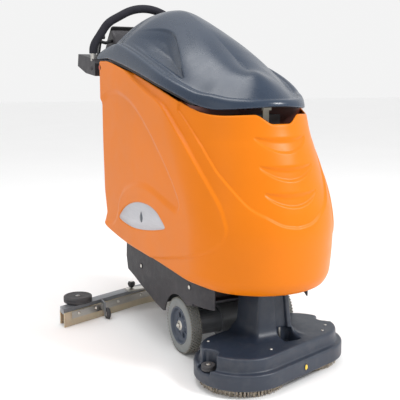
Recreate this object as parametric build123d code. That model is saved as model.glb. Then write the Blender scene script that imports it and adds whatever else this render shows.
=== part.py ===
"""Walk-behind floor scrubber: twin-disc brush deck, tip-up lid, trailing curved squeegee.

Millimetres, +Z up, the machine drives towards -Y. Every y below is measured from a datum
plane a little ahead of the drive axle; save() moves each part so that the origin is on the
floor, midway along the whole machine.
"""
from build123d import *
from math import cos, radians, sin, tan
import os

# Overall
FRONT_END = -404.0          # front of the brush deck skirt
REAR_END = 989.0            # rear corner of the console
CENTRE_Y = (FRONT_END + REAR_END) / 2

# Fits and clearances
RUN_GAP = 0.05              # radial gap of a running fit
OPEN_GAP = 0.6              # radial gap of the pivot that closes the deck linkage
EASY_GAP = 0.4              # between neighbouring bodies

# Drive wheels and axle
WHEEL_R = 100.0
WHEEL_W = 48.0
WHEEL_X = 185.5
RIM_R = 64.4
AXLE_Y = 53.0
AXLE_Z = WHEEL_R
AXLE_R = 12.0
HUB_R = 24.0
RIM_DISH = 11.0
TRANSAXLE_HALF = 142.0
TRANSAXLE_R = 44.0

# Chassis tray
TRAY_HALF = 212.0
TRAY_WALL = 5.0
TRAY_FLOOR_Z = 165.0
TRAY_RIM_Z = 330.0
TRAY_REAR = 526.0
TRAY_REAR_LOW = 511.0
TRAY_FRONT = -264.0
ARCH_R = 119.0
ARCH_DEPTH = 66.0
POST_FRONT = 150.0
POST_REAR = 455.0
NOTCH_HALF = 98.0
NOTCH_Y = -78.0
TRAY_SLACK = 4.0
ARCH_FLOOR_Z = 212.0         # tray floor ahead of the wheels
FRONT_FLOOR_Z = 200.0
TRAY_NOSE_Z = 232.0
SCREW_R = 3.0
SCREW_HEAD_R = 7.0
SCREW_SPOTS = [(364, 242), (-152, 281)]

# Batteries
BATTERY_X = 168.0
BATTERY_Y = 270.0
BATTERY_H = 215.0
BATTERY_GAP = 8.0
BATTERY_FRONT = 185.0

# Solution tank
TANK_WALL = 6.0
TANK_HALF = 255.0
TANK_TOP_HALF = 251.0
TANK_REAR = 695.0
TANK_CORNER_R = 62.0
TANK_FLOOR_Z = 528.0
TANK_FLOOR_T = 12.0
SHELF_FRONT = 470.0
SHELF_TOP_Z = 760.0
REAR_WALL_TOP = 955.0
ABOVE_TANK = 1200.0
INLET_X = 130.0
INLET_Z = 840.0
INLET_L = 40.0
# (z, value) pairs: front of the nose, length of the nose, half width
NOSE_FRONT = [(240, -356), (400, -371), (500, -366), (640, -325), (806, -263), (1040, -205)]
NOSE_DEPTH = [(240, 262), (500, 262), (725, 330), (1040, 400)]
SIDE_HALF = [(240, TANK_HALF), (560, TANK_HALF), (760, TANK_TOP_HALF), (1040, TANK_TOP_HALF)]
TANK_LEVELS = [240, 400, 500, 640, 806, 1040]
# (y, z) points of the side profiles
TOP_EDGE = [(-420, 700), (-330, 758), (-263, 806), (-200, 844), (-134, 864), (88, 904),
            (350, 968), (555, 1011), (640, 1019), (760, 1019)]
LOW_EDGE = [(760, 345), (591, 345), (417, 326), (187, 317), (-95, 302), (-234, 288), (-420, 262)]
LID_EDGE = [(-420, 890), (-350, 882), (-230, 867), (-148, 871), (88, 912),
            (350, 976), (555, 1021), (640, 1026), (745, 1026)]

# Lid and its hinge
LID_HALF = 262.0
LID_TIP = -372.0
LID_NOSE = 278.0
LID_WALL = 5.0
CROWN = [(-372, 900), (-345, 930), (-295, 966), (-184, 1005), (1, 1068), (140, 1119),
         (291, 1171), (459, 1210), (560, 1211), (640, 1190), (760, 1110)]
RIM = [(-372, 893), (-330, 898), (-148, 943), (151, 1016), (400, 1057), (530, 1076),
       (640, 1072), (760, 1050)]
LID_BACK_Y = 745.0
LID_BACK = [(725, 1055), (703, 1093), (688, 1150)]
ABOVE_LID = 1300.0
LID_STATIONS = [-372, -335, -270, -180, -60, 90, 250, 420, 560, 660, 760]
SEAL_W = 5.0
SEAL_H = 10.0
SEAL_REAR = 600.0
PIN_Y = 673.0
PIN_Z = 993.0
PIN_R = 6.0
PIN_HEAD_R = 11.0
LUG_R = 14.0
LUG_INNER = 230.0
LUG_T = 12.0
EAR_R = 26.0

# Recovery tub
TUB_HALF = 212.0
TUB_FRONT = -88.0
TUB_REAR = 455.0
TUB_WALL = 5.0
TUB_CORNER_R = 55.0
TUB_BELOW_EDGE = 16.0

# Fill opening
STRAINER_HALF = 55.0
STRAINER_L = 74.0
STRAINER_H = 62.0
STRAINER_Z = 772.0
STRAINER_WALL = 2.0
STRAP_W = 22.0
STRAP_T = 3.0
LEVEL_TOP = 858.0

# Suction motor
VAC_R = 82.0
VAC_H = 120.0
VAC_Y = 575.0
VAC_WALL = 5.0
FAN_R = 60.0

# Float valve
FLOAT_R = 20.0
CAGE_R = 26.0
CAGE_BAR = 4.0
CAGE_Z = 770.0
CAGE_H = 95.0

# Console, handle and controls
CONSOLE_HALF = 243.0
CONSOLE_FRONT = 765.0
POD_HALF = 150.0
PANEL_W = 250.0
PANEL_L = 104.0
PANEL_T = 4.0
PANEL_TOP = (868.0, 1178.0)
PANEL_LOW = (955.0, 1085.0)
CONSOLE_WALL = 4.0
CONSOLE_LOW = 960.0
NECK_HALF = 160.0
BUTTON_R = 9.0
KEY_R = 8.0
STOP_R = 7.0
DOSE_R = 5.0
BUTTON_SPOTS = [(-80.0, -22.0), (-40.0, -22.0)]
KEY_SPOT = (-102.0, 22.0)
STOP_SPOT = (96.0, 16.0)
DOSE_SPOT = (50.0, -24.0)
PANEL_BORES = ([(x, y, BUTTON_R) for x, y in BUTTON_SPOTS]
               + [(*KEY_SPOT, KEY_R), (*STOP_SPOT, STOP_R), (*DOSE_SPOT, DOSE_R)])
DISPLAY_W = 96.0
DISPLAY_H = 40.0
DISPLAY_SPOT = (-10.0, 22.0)
HANDLE_FOOT_X = 234.0
HANDLE_Y = 805.0
HANDLE_FOOT_Z = 1022.0
GRIP_R = 17.0
TUBE_R = 12.0
GRIP_FOOT_Z = 1053.0
LEVER_X = -188.0
LEVER_Y = 880.0
LEVER_Z = 1030.0
LEVER_R = 9.0
LEVER_T = 12.0
LEVER_PIN_R = 4.0
PADDLE_Y = 978.0
PADDLE_Z = 1076.0
PADDLE_HALF = 90.0
PADDLE_ROD_R = 3.0

# Brush deck
DECK_Y = -210.3
BRUSH_SPACING = 276.0
STAGGER = 17.0
SKIRT_R = 153.4
SKIRT_WALL = 6.0
SKIRT_LOW = 25.0
SKIRT_TOP = 76.0
STEP_R = 133.0
STEP_TOP = 119.0
BRUSH_R = 135.0
BRISTLE_R = 137.4
BRISTLE_H = 27.0
BLOCK_TOP = 50.0
SPINDLE_R = 12.0
MOTOR_R = 50.0
MOTOR_TOP = 108.0
PLATE_Z = 56.0
PLATE_T = 5.0
TOWER_HALF_LOW = 68.0
TOWER_HALF_TOP = 54.0
TOWER_REAR = -98.0
TOWER_FRONT = -240.0
TOWER_TOP = 300.0
WALL_ROLLER_R = 22.0
WALL_ROLLER_T = 19.0
WALL_ROLLER_REACH = 129.5
WALL_ROLLER_ANGLE = 173.0
ROLLER_SEAT = 64.0
ROLLER_BOLT_R = 5.0
POCKET_R = WALL_ROLLER_R + 5
WHEEL_NOTCH_X = 148.0
WHEEL_NOTCH_Y = -60.0
PLATE_R = 95.0
BOSS_R = 7.0
COVER_SCREW_R = 3.0
COVER_SCREWS = [(-1, -28.0, 74.0), (-1, 14.0, -84.0), (1, 58.0, -60.0)]
REFLECTOR_R = 9.0
REFLECTOR_Z = 50.0
REFLECTOR_ALONG = -6.0
BRISTLE_INNER = 52.0

# Deck lift linkage
LINK_LENGTH = 120.0
LINK_SLOPE = 30.0
LINK_PIVOT_Y = -100.0
LINK_LOW_Z = 196.0
LINK_RISE = 62.0
LINK_HALF = 22.0
LINK_EYE_R = 13.0
LINK_PIN_R = 6.0
LINK_LUG_T = 6.0

# Castor
CASTOR_Y = 430.0
CASTOR_R = 50.0
CASTOR_W = 38.0
CASTOR_TRAIL = 30.0
CASTOR_PIN_R = 10.0
CASTOR_AXLE_R = 6.0
CASTOR_PLATE_T = 6.0
CASTOR_TYRE = 12.0
CASTOR_SWIVEL_LOW = 112.0

# Squeegee
BLADE_HALF = 486.0
BLADE_APEX_Y = 700.0
BLADE_SLOPE = 20.5
BLADE_BEND_R = 350.0
BLADE_T = 4.0
BLADE_TOP = 58.0
BEAM_HALF = 23.0
BEAM_LOW = 50.0
BEAM_TOP = 72.0
STRIP_T = 2.5
STRIP_LOW = 26.0
END_ROLLER_R = 56.0
END_ROLLER_X = 404.5
END_ROLLER_BACK = 20.0
END_ROLLER_T = 26.0
END_ROLLER_PIN_R = 7.0
END_ROLLER_TOP = BEAM_TOP + 2 * EASY_GAP + END_ROLLER_T
STUD_R = 5.0
TROLLEY_AXLE_R = 4.0
BRACKET_T = 6.0
TONGUE_T = 10.0
TROLLEY_X = 298.0
TROLLEY_Y = 522.0
TROLLEY_R = 22.0
TROLLEY_W = 16.0
KNOB_X = 150.0
KNOB_Y = 632.0
KNOB_R = 17.0
SWING_Y = 560.0
SWING_R = 8.0
ARM_X = 111.0
ARM_T = 12.0
ARM_LOW = 98.0
ARM_TOP = 113.0
ARM_PIVOT_Y = 330.0
ARM_PIVOT_Z = 125.0
ARM_EYE_R = 14.0
ARM_PIN_R = 7.0
SPIGOT_R = 20.0
SPIGOT_COLLAR = 22.0
SPIGOT_COLLAR_T = 2.0
SPIGOT_WALL = 3.0
SPIGOT_H = 60.0
SPIGOT_ROOT = 20.0
SPIGOT_LEAN = 32.0
SPIGOT_AHEAD = 24.0


def save(shape, name):
    """Name the part, move it to the export origin and write it."""
    part = Part() + shape if isinstance(shape, list) else shape
    part = part.moved(Location((0, -CENTRE_Y, 0)))
    export_step(part, f"parts/{name}.step")


def block(x0, x1, y0, y1, z0, z1):
    """Box between two corners."""
    centre = ((x0 + x1) / 2, (y0 + y1) / 2, (z0 + z1) / 2)
    return Pos(*centre) * Box(x1 - x0, y1 - y0, z1 - z0)


def post(x, y, z0, z1, r):
    """Upright cylinder."""
    return Pos(x, y, (z0 + z1) / 2) * Cylinder(r, z1 - z0)


def bar_x(x0, x1, y, z, r):
    """Cylinder along X."""
    return Pos((x0 + x1) / 2, y, z) * Rot(0, 90, 0) * Cylinder(r, abs(x1 - x0))


def side_face(curves):
    """Face in the YZ plane from curves drawn as (y, z)."""
    return Plane.YZ * make_face(curves)


def across(face, x0, x1):
    """Extrude a YZ face from x0 to x1."""
    return Pos(x0, 0, 0) * extrude(face, amount=x1 - x0, dir=(1, 0, 0))


def side_polygon(points, x0, x1):
    """Prism across X from (y, z) corners."""
    return across(Plane.YZ * make_face(Polyline(*points, close=True)), x0, x1)


def hollow_prism(points, x0, x1, wall):
    """Prism across X from (y, z) corners, closed and hollow."""
    face = make_face(Polyline(*points, close=True))
    room = across(Plane.YZ * offset(face, -wall), x0 + wall, x1 - wall)
    return across(Plane.YZ * face, x0, x1) - room


def mirrored(shape):
    """The same shape on the other side of the machine."""
    return mirror(shape, about=Plane.YZ)


def blend(table, z):
    """Linear value from (z, value) pairs."""
    for (z0, v0), (z1, v1) in zip(table, table[1:]):
        if z <= z1:
            return v0 + (v1 - v0) * (z - z0) / (z1 - z0)
    return table[-1][1]


# ---------------------------------------------------------------- tank and lid surfaces

def outline(half, front, nose, rear, corner):
    """Plan outline: elliptical nose, straight sides, rounded rear corners."""
    y_nose = front + nose
    k = corner
    sides = [
        EllipticalCenterArc((0, y_nose), half, nose, start_angle=180, arc_size=180),
        Line((half, y_nose), (half, rear - k)),
        RadiusArc((half, rear - k), (half - k, rear), -k),
        Line((half - k, rear), (-half + k, rear)),
        RadiusArc((-half + k, rear), (-half, rear - k), -k),
        Line((-half, rear - k), (-half, y_nose)),
    ]
    return make_face(sides)


def tank_body(inset):
    """Loft of the tank's plan outline over its height."""
    faces = []
    for z in TANK_LEVELS:
        half = blend(SIDE_HALF, z) - inset
        front = blend(NOSE_FRONT, z) + inset
        nose = blend(NOSE_DEPTH, z) - inset
        face = outline(half, front, nose, TANK_REAR - inset, TANK_CORNER_R - inset)
        faces.append(Pos(0, 0, z) * face)
    return loft(faces, ruled=True)


def tank_side(drop):
    """Side profile of the tank, with the top edge lowered by drop."""
    top = [(y, z - drop) for y, z in TOP_EDGE]
    front = Line(LOW_EDGE[-1], top[0])
    back = Line(top[-1], LOW_EDGE[0])
    return side_face([Spline(*top), back, Polyline(*LOW_EDGE), front])


def solution_tank():
    """Outer shell: open top for the tub, floor above the batteries, hollow skirt below."""
    shell = tank_body(0) & across(tank_side(0), -TANK_HALF - 20, TANK_HALF + 20)
    inner = tank_body(TANK_WALL)
    floor_top = TANK_FLOOR_Z + TANK_FLOOR_T
    step_back = SHELF_FRONT - TANK_FLOOR_T
    shelf_low = SHELF_TOP_Z - TANK_FLOOR_T
    high = [(-500, floor_top), (SHELF_FRONT, floor_top), (SHELF_FRONT, SHELF_TOP_Z),
            (900, SHELF_TOP_Z), (900, ABOVE_TANK), (-500, ABOVE_TANK)]
    low = [(-500, 200), (-500, TANK_FLOOR_Z), (step_back, TANK_FLOOR_Z), (step_back, shelf_low),
           (900, shelf_low), (900, 200)]
    wide = TANK_HALF + 20
    shell -= inner & side_polygon(high, -wide, wide)
    shell -= inner & side_polygon(low, -wide, wide)
    ear_inner = LUG_INNER + LUG_T + 3
    shell -= block(-ear_inner, ear_inner, TANK_REAR - 20, TANK_REAR + 20, REAR_WALL_TOP, ABOVE_TANK)
    for side in (-1, 1):
        ear = bar_x(side * (ear_inner + 1), side * TANK_TOP_HALF, PIN_Y, PIN_Z, EAR_R)
        root = block(ear_inner + 1, TANK_TOP_HALF, PIN_Y - EAR_R, PIN_Y + EAR_R, PIN_Z - 70, PIN_Z)
        shell += ear
        shell += root if side > 0 else mirrored(root)
        shell -= bar_x(side * 200, side * 300, PIN_Y, PIN_Z, PIN_R)
        x0, x1 = sorted((side * (LUG_INNER - 5), side * ear_inner))
        shell -= block(x0, x1, PIN_Y - LUG_R - 20, TANK_REAR + 1, PIN_Z - LUG_R - 20, ABOVE_TANK)
    shell += inlet_spigot()
    return shell


def inlet_spigot():
    """Hose inlet that stands out of the tank's rear wall."""
    ring = Circle(SPIGOT_R + 2) - Circle(SPIGOT_R - 1)
    rear = Plane(origin=(INLET_X, TANK_REAR, INLET_Z), x_dir=(1, 0, 0), z_dir=(0, 1, 0))
    return extrude(rear * ring, amount=INLET_L)


def recovery_tub():
    """Dirty-water tub that stands on the tank's floor."""
    base = TANK_FLOOR_Z + TANK_FLOOR_T
    length = TUB_REAR - TUB_FRONT
    mid = (TUB_FRONT + TUB_REAR) / 2
    plan = Pos(0, mid, base) * RectangleRounded(2 * TUB_HALF, length, TUB_CORNER_R)
    hollow = Pos(0, mid, base + TUB_WALL) * RectangleRounded(
        2 * (TUB_HALF - TUB_WALL), length - 2 * TUB_WALL, TUB_CORNER_R - TUB_WALL)
    tub = extrude(plan, amount=600) - extrude(hollow, amount=600)
    return tub & across(tank_side(TUB_BELOW_EDGE), -TANK_HALF, TANK_HALF)


def fill_strainer():
    """Perforated basket hung on the tub's front wall under the fill opening."""
    front = TUB_FRONT - STRAINER_L
    box = block(-STRAINER_HALF, STRAINER_HALF, front, TUB_FRONT, STRAINER_Z, STRAINER_Z + STRAINER_H)
    w = STRAINER_WALL
    room = block(-STRAINER_HALF + w, STRAINER_HALF - w, front + w, TUB_FRONT - w,
                 STRAINER_Z + w, STRAINER_Z + STRAINER_H + 1)
    basket = box - room
    holes = [Pos(x, front + STRAINER_L / 2 + y, STRAINER_Z) * Cylinder(3, 10)
             for x in range(-40, 41, 16) for y in (-24, -8, 8, 24)]
    return basket - holes


def level_strap():
    """Graduated level strap that stands in the fill opening."""
    x0 = -STRAP_W / 2
    y0 = TUB_FRONT - STRAINER_L - STRAP_T
    strap = block(x0, x0 + STRAP_W, y0, y0 + STRAP_T, STRAINER_Z, LEVEL_TOP)
    return strap + block(x0 - 5, x0 + STRAP_W + 5, y0 - 6, y0 + STRAP_T, LEVEL_TOP - 10, LEVEL_TOP)

# ------------------------------------------------------------------------------- lid

def lid_section(y, inset):
    """Cross-section of the lid in the XZ plane at y."""
    half = LID_HALF - inset
    rim = blend(RIM, y) - inset
    crown = max(blend(CROWN, y) - inset, rim + 2)
    low = 820.0
    rise = crown - rim
    shoulder = rim + rise * 0.62
    top = Spline((-half, rim), (-half * 0.72, shoulder), (0, crown), (half * 0.72, shoulder), (half, rim))
    face = make_face([top, Polyline((half, rim), (half, low), (-half, low), (-half, rim))])
    return Plane(origin=(0, y, 0), x_dir=(1, 0, 0), z_dir=(0, -1, 0)) * face


def lid_body(inset):
    """Domed body of the lid, cut to its plan outline."""
    dome = loft([lid_section(y, inset) for y in LID_STATIONS], ruled=True)
    plan = outline(LID_HALF - inset, LID_TIP + inset, LID_NOSE - inset, 755 - inset, 50 - inset)
    return dome & extrude(Pos(0, 0, 700) * plan, amount=600)


def lid_profile(lift, inset):
    """Side profile that trims the lid's edge and its rear, which clears the console."""
    low = [(y, z + lift) for y, z in LID_EDGE]
    back = [(y - inset, z) for y, z in LID_BACK]
    start = (LID_BACK_Y - inset, low[-1][1])
    rear = [start, *back, (back[-1][0], ABOVE_LID), (low[0][0], ABOVE_LID), low[0]]
    return side_face([Spline(*low[:-1], start), Polyline(*rear)])


def lid_shell():
    """Tip-up lid with two hinge lugs."""
    wide = LID_HALF + 20
    outer = lid_body(0) & across(lid_profile(0, 0), -wide, wide)
    inner = lid_body(LID_WALL) & across(lid_profile(-60, LID_WALL), -wide, wide)
    lid = outer - inner
    lug_shape = [(PIN_Y - LUG_R, PIN_Z), (PIN_Y - LUG_R - 12, 1078), (PIN_Y + 14, 1078),
                 (PIN_Y + 42, 1030), (PIN_Y + LUG_R, PIN_Z)]
    lug = side_polygon(lug_shape, LUG_INNER, LUG_INNER + LUG_T)
    lug += bar_x(LUG_INNER, LUG_INNER + LUG_T, PIN_Y, PIN_Z, LUG_R)
    lug -= bar_x(LUG_INNER - 1, LUG_INNER + LUG_T + 1, PIN_Y, PIN_Z, PIN_R + RUN_GAP)
    web = side_polygon([(PIN_Y - LUG_R - 12, 1050), (PIN_Y - LUG_R - 12, 1062), (PIN_Y + 20, 1062),
                        (PIN_Y + 30, 1050)], LUG_INNER, LID_HALF - LID_WALL + 1)
    for part in (lug, web):
        lid += part
        lid += mirrored(part)
    return lid


def lid_seal():
    """Soft seal inside the lid's lower edge, open at the rear."""
    ring = outline(LID_HALF - LID_WALL, LID_TIP + LID_WALL, LID_NOSE - LID_WALL, 800, 50)
    ring -= outline(LID_HALF - LID_WALL - SEAL_W, LID_TIP + LID_WALL + SEAL_W,
                    LID_NOSE - LID_WALL - SEAL_W, 790, 40)
    wall = extrude(Pos(0, 0, 700) * ring, amount=500)
    low = [(y, z + 2) for y, z in LID_EDGE if y < SEAL_REAR]
    high = [(y, z + 2 + SEAL_H) for y, z in low][::-1]
    band = side_face([Spline(*low), Line(low[-1], high[0]), Spline(*high), Line(high[-1], low[0])])
    return wall & across(band, -LID_HALF, LID_HALF)


def lid_hinge_pins():
    """One headed pin each side, fixed in the tank's ears."""
    outer = TANK_TOP_HALF
    pins = []
    for side in (-1, 1):
        pin = bar_x(side * (LUG_INNER - 2), side * outer, PIN_Y, PIN_Z, PIN_R)
        pins.append(pin + bar_x(side * outer, side * (outer + 4), PIN_Y, PIN_Z, PIN_HEAD_R))
    return Compound(children=pins)


# --------------------------------------------------------------------- chassis and drive

def chassis_tray():
    """Open tray with wheel arches, a notch for the deck tower and lugs for the linkages."""
    low_front = [(90, TRAY_FLOOR_Z), (0, ARCH_FLOOR_Z), (-125, FRONT_FLOOR_Z), (TRAY_FRONT, TRAY_NOSE_Z)]
    ring = [(TRAY_REAR, TRAY_RIM_Z), (TRAY_REAR_LOW, TRAY_FLOOR_Z), *low_front,
            (TRAY_FRONT, TRAY_RIM_Z), (POST_FRONT, TRAY_RIM_Z), (POST_FRONT, TANK_FLOOR_Z),
            (POST_REAR, TANK_FLOOR_Z), (POST_REAR, TRAY_RIM_Z)]
    w = TRAY_WALL
    room = [(TRAY_REAR - w, 600), (TRAY_REAR_LOW - w, TRAY_FLOOR_Z + w), (95, TRAY_FLOOR_Z + w),
            (2, ARCH_FLOOR_Z + w), (-125, FRONT_FLOOR_Z + w), (TRAY_FRONT + w, TRAY_NOSE_Z + w),
            (TRAY_FRONT + w, 600)]
    tray = side_polygon(ring, -TRAY_HALF, TRAY_HALF) & tray_plan(0)
    hollow = side_polygon(room, -TRAY_HALF + w, TRAY_HALF - w) & tray_plan(w)
    for side in (-1, 1):
        x_in = side * (TRAY_HALF - ARCH_DEPTH)
        x_out = side * (TRAY_HALF + 10)
        hollow -= bar_x(x_in - side * w, x_out, AXLE_Y, AXLE_Z, ARCH_R + w)
    tray -= hollow
    for side in (-1, 1):
        x_in = side * (TRAY_HALF - ARCH_DEPTH)
        x_out = side * (TRAY_HALF + 10)
        tray -= bar_x(x_in, x_out, AXLE_Y, AXLE_Z, ARCH_R)
    tray -= block(-NOTCH_HALF, NOTCH_HALF, -500, NOTCH_Y, 0, 600)
    notch_low = FRONT_FLOOR_Z + 6
    tray += block(-NOTCH_HALF - w, NOTCH_HALF + w, NOTCH_Y, NOTCH_Y + w, notch_low, TRAY_RIM_Z)
    for side in (-1, 1):
        x0 = side * NOTCH_HALF
        x1 = side * (NOTCH_HALF + w)
        cheek = [(NOTCH_Y, notch_low), (-125, FRONT_FLOOR_Z + 2), (TRAY_FRONT, TRAY_NOSE_Z + 2),
                 (TRAY_FRONT, TRAY_RIM_Z), (NOTCH_Y, TRAY_RIM_Z)]
        tray += side_polygon(cheek, min(x0, x1), max(x0, x1))
        tray += deck_lugs(side) + squeegee_lugs(side)
    for z in (LINK_LOW_Z, LINK_LOW_Z + LINK_RISE):
        tray += bar_x(-LINK_HALF - 2, LINK_HALF + 2, LINK_PIVOT_Y, z, LINK_PIN_R)
    return tray


def tray_plan(inset):
    """Upright prism of the tray's plan, which follows the inside of the tank's nose."""
    slack = TANK_WALL + TRAY_SLACK + inset
    front = blend(NOSE_FRONT, TRAY_RIM_Z) + slack
    nose = blend(NOSE_DEPTH, TRAY_RIM_Z) - slack
    plan = outline(TANK_HALF - slack, front, nose, TANK_REAR, TANK_CORNER_R)
    return extrude(plan, amount=900)


def deck_lugs(side):
    """Upright lug that carries both linkage pins."""
    x0 = side * (LINK_HALF + 1)
    x1 = side * (LINK_HALF + 1 + LINK_LUG_T)
    shape = [(NOTCH_Y + 1, LINK_LOW_Z - LINK_EYE_R), (LINK_PIVOT_Y - 10, LINK_LOW_Z - LINK_EYE_R),
             (LINK_PIVOT_Y - 10, LINK_LOW_Z + LINK_RISE + LINK_EYE_R), (NOTCH_Y + 1, 290)]
    return side_polygon(shape, min(x0, x1), max(x0, x1))


def squeegee_lugs(side):
    """Lug under the tray with the pin of the squeegee arm."""
    x0 = side * (ARM_X + ARM_T / 2 + 1)
    x1 = x0 + side * 6
    low = ARM_PIVOT_Z - ARM_EYE_R
    shape = [(ARM_PIVOT_Y - 30, TRAY_FLOOR_Z + 1), (ARM_PIVOT_Y - ARM_EYE_R, low),
             (ARM_PIVOT_Y + ARM_EYE_R, low), (ARM_PIVOT_Y + 30, TRAY_FLOOR_Z + 1)]
    lug = side_polygon(shape, min(x0, x1), max(x0, x1))
    pin_end = side * (ARM_X - ARM_T / 2 - 2)
    return lug + bar_x(pin_end, x0 + side, ARM_PIVOT_Y, ARM_PIVOT_Z, ARM_PIN_R)


def chassis_screws():
    """Screws that close the side panels."""
    screws = []
    for side in (-1, 1):
        for y, z in SCREW_SPOTS:
            screws.append(bar_x(side * (TRAY_HALF - 8), side * TRAY_HALF, y, z, SCREW_R)
                          + bar_x(side * TRAY_HALF, side * (TRAY_HALF + 3), y, z, SCREW_HEAD_R))
    return Compound(children=screws)


def screw_holes(tray):
    """The tray with a hole under each screw."""
    for side in (-1, 1):
        for y, z in SCREW_SPOTS:
            tray -= bar_x(side * (TRAY_HALF - 20), side * (TRAY_HALF + 1), y, z, SCREW_R + RUN_GAP)
    return tray


def battery(side):
    """Sealed battery with two terminal posts."""
    x_mid = side * (BATTERY_GAP / 2 + BATTERY_X / 2)
    z0 = TRAY_FLOOR_Z + TRAY_WALL
    y_mid = BATTERY_FRONT + BATTERY_Y / 2
    case = Pos(x_mid, y_mid, z0 + BATTERY_H / 2) * Box(BATTERY_X, BATTERY_Y, BATTERY_H)
    case = fillet(case.edges().filter_by(Axis.Z), 8)
    top = z0 + BATTERY_H
    for dy in (-90, 90):
        case += post(x_mid, y_mid + dy, top - 1, top + 14, 9)
    return case


def transaxle():
    """Gearbox and motor between the drive wheels, bolted under the tray."""
    body = bar_x(-TRANSAXLE_HALF, TRANSAXLE_HALF, AXLE_Y, AXLE_Z, TRANSAXLE_R)
    body += bar_x(-60, 60, AXLE_Y, AXLE_Z, TRANSAXLE_R + 12)
    for x in (-110, 110):
        body += block(x - 20, x + 20, 95, 135, AXLE_Z - 20, TRAY_FLOOR_Z)
        body += block(x - 20, x + 20, AXLE_Y, 100, AXLE_Z - 20, AXLE_Z + 20)
    for side in (-1, 1):
        body -= bar_x(side * (TRANSAXLE_HALF - 40), side * (TRANSAXLE_HALF + 1), AXLE_Y, AXLE_Z,
                      AXLE_R + RUN_GAP)
    return body


def tyre(side):
    """Tyre with rounded shoulders."""
    half = WHEEL_W / 2
    profile = Pos((WHEEL_R + RIM_R) / 2, 0) * Rectangle(WHEEL_R - RIM_R, WHEEL_W)
    outer = profile.vertices().group_by(Axis.X)[-1]
    profile = fillet(outer, 8)
    ring = revolve(Plane.XZ * profile, Axis.Z)
    return Pos(side * WHEEL_X, AXLE_Y, AXLE_Z) * Rot(0, 90, 0) * ring


def rim(side):
    """Dished rim with hub and drive shaft."""
    inner = WHEEL_X - WHEEL_W / 2 + 2
    outer = WHEEL_X + WHEEL_W / 2 - 3
    body = bar_x(inner, outer, AXLE_Y, AXLE_Z, RIM_R)
    body -= bar_x(outer - RIM_DISH, outer + 1, AXLE_Y, AXLE_Z, RIM_R - 7)
    body += bar_x(inner, outer - 3, AXLE_Y, AXLE_Z, HUB_R)
    for i in range(5):
        turn = Pos(0, AXLE_Y, AXLE_Z) * Rot(72 * i, 0, 0)
        body += turn * bar_x(outer - RIM_DISH - 1, outer - RIM_DISH + 4, 38, 0, 5)
    body += bar_x(TRANSAXLE_HALF - 38, inner + 1, AXLE_Y, AXLE_Z, AXLE_R)
    return body if side > 0 else mirrored(body)


def castor_plate():
    """Top plate with the swivel pin."""
    top = TRAY_FLOOR_Z
    low = top - CASTOR_PLATE_T
    plate = block(-48, 48, CASTOR_Y - 38, CASTOR_Y + 38, low, top)
    return plate + post(0, CASTOR_Y, CASTOR_SWIVEL_LOW, low + 1, CASTOR_PIN_R)


def castor_fork():
    """Swivel head, two legs and the wheel axle."""
    top = TRAY_FLOOR_Z - CASTOR_PLATE_T - EASY_GAP
    leg_x = CASTOR_W / 2 + 1.5
    crown = block(-leg_x - 5, leg_x + 5, CASTOR_Y - 26, CASTOR_Y + 52, top - 44, top - 38)
    neck = post(0, CASTOR_Y, top - 40, top, 24)
    fork = crown + neck
    wheel_y = CASTOR_Y + CASTOR_TRAIL
    shape = [(CASTOR_Y - 26, top - 38), (CASTOR_Y + 52, top - 38), (wheel_y + 14, CASTOR_R - 12),
             (wheel_y - 14, CASTOR_R - 12)]
    leg = side_polygon(shape, leg_x, leg_x + 5)
    fork += leg + mirrored(leg)
    fork += bar_x(-leg_x - 8, leg_x + 8, wheel_y, CASTOR_R, CASTOR_AXLE_R)
    return fork - post(0, CASTOR_Y, CASTOR_SWIVEL_LOW - EASY_GAP, top + 1, CASTOR_PIN_R + RUN_GAP)


def castor_hub():
    """Hub that turns on the fork's axle."""
    wheel_y = CASTOR_Y + CASTOR_TRAIL
    half = CASTOR_W / 2
    hub = bar_x(-half + 1, half - 1, wheel_y, CASTOR_R, CASTOR_R - CASTOR_TYRE)
    return hub - bar_x(-half - 1, half + 1, wheel_y, CASTOR_R, CASTOR_AXLE_R + RUN_GAP)


def castor_tyre():
    """Rubber tread of the castor."""
    profile = Pos(CASTOR_R - CASTOR_TYRE / 2, 0) * Rectangle(CASTOR_TYRE, CASTOR_W)
    profile = fillet(profile.vertices().group_by(Axis.X)[-1], 5)
    ring = revolve(Plane.XZ * profile, Axis.Z)
    return Pos(0, CASTOR_Y + CASTOR_TRAIL, CASTOR_R) * Rot(0, 90, 0) * ring


# ------------------------------------------------------------------- suction and float

def vac_housing():
    """Closed housing of the suction motor, on the tank's shelf."""
    z0 = SHELF_TOP_Z
    can = post(0, VAC_Y, z0, z0 + VAC_H, VAC_R)
    room = post(0, VAC_Y, z0 + VAC_WALL, z0 + VAC_H - VAC_WALL, VAC_R - VAC_WALL)
    pin = post(0, VAC_Y, z0 + VAC_WALL - 1, z0 + 60, 5)
    nozzle = block(-16, 16, VAC_Y - VAC_R - 18, VAC_Y - VAC_R + 4, z0 + 40, z0 + 72)
    return can - room + pin + nozzle


def vac_impeller():
    """Fan disc with straight vanes, turning on the housing's pin."""
    z0 = SHELF_TOP_Z + 20
    fan = post(0, VAC_Y, z0, z0 + 4, FAN_R) + post(0, VAC_Y, z0, z0 + 34, 14)
    for i in range(8):
        vane = block(10, FAN_R - 2, -1.5, 1.5, z0 + 3, z0 + 24)
        fan += Pos(0, VAC_Y, 0) * Rot(0, 0, 45 * i) * vane
    return fan - post(0, VAC_Y, z0 - 1, z0 + 60, 5 + RUN_GAP)


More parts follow.
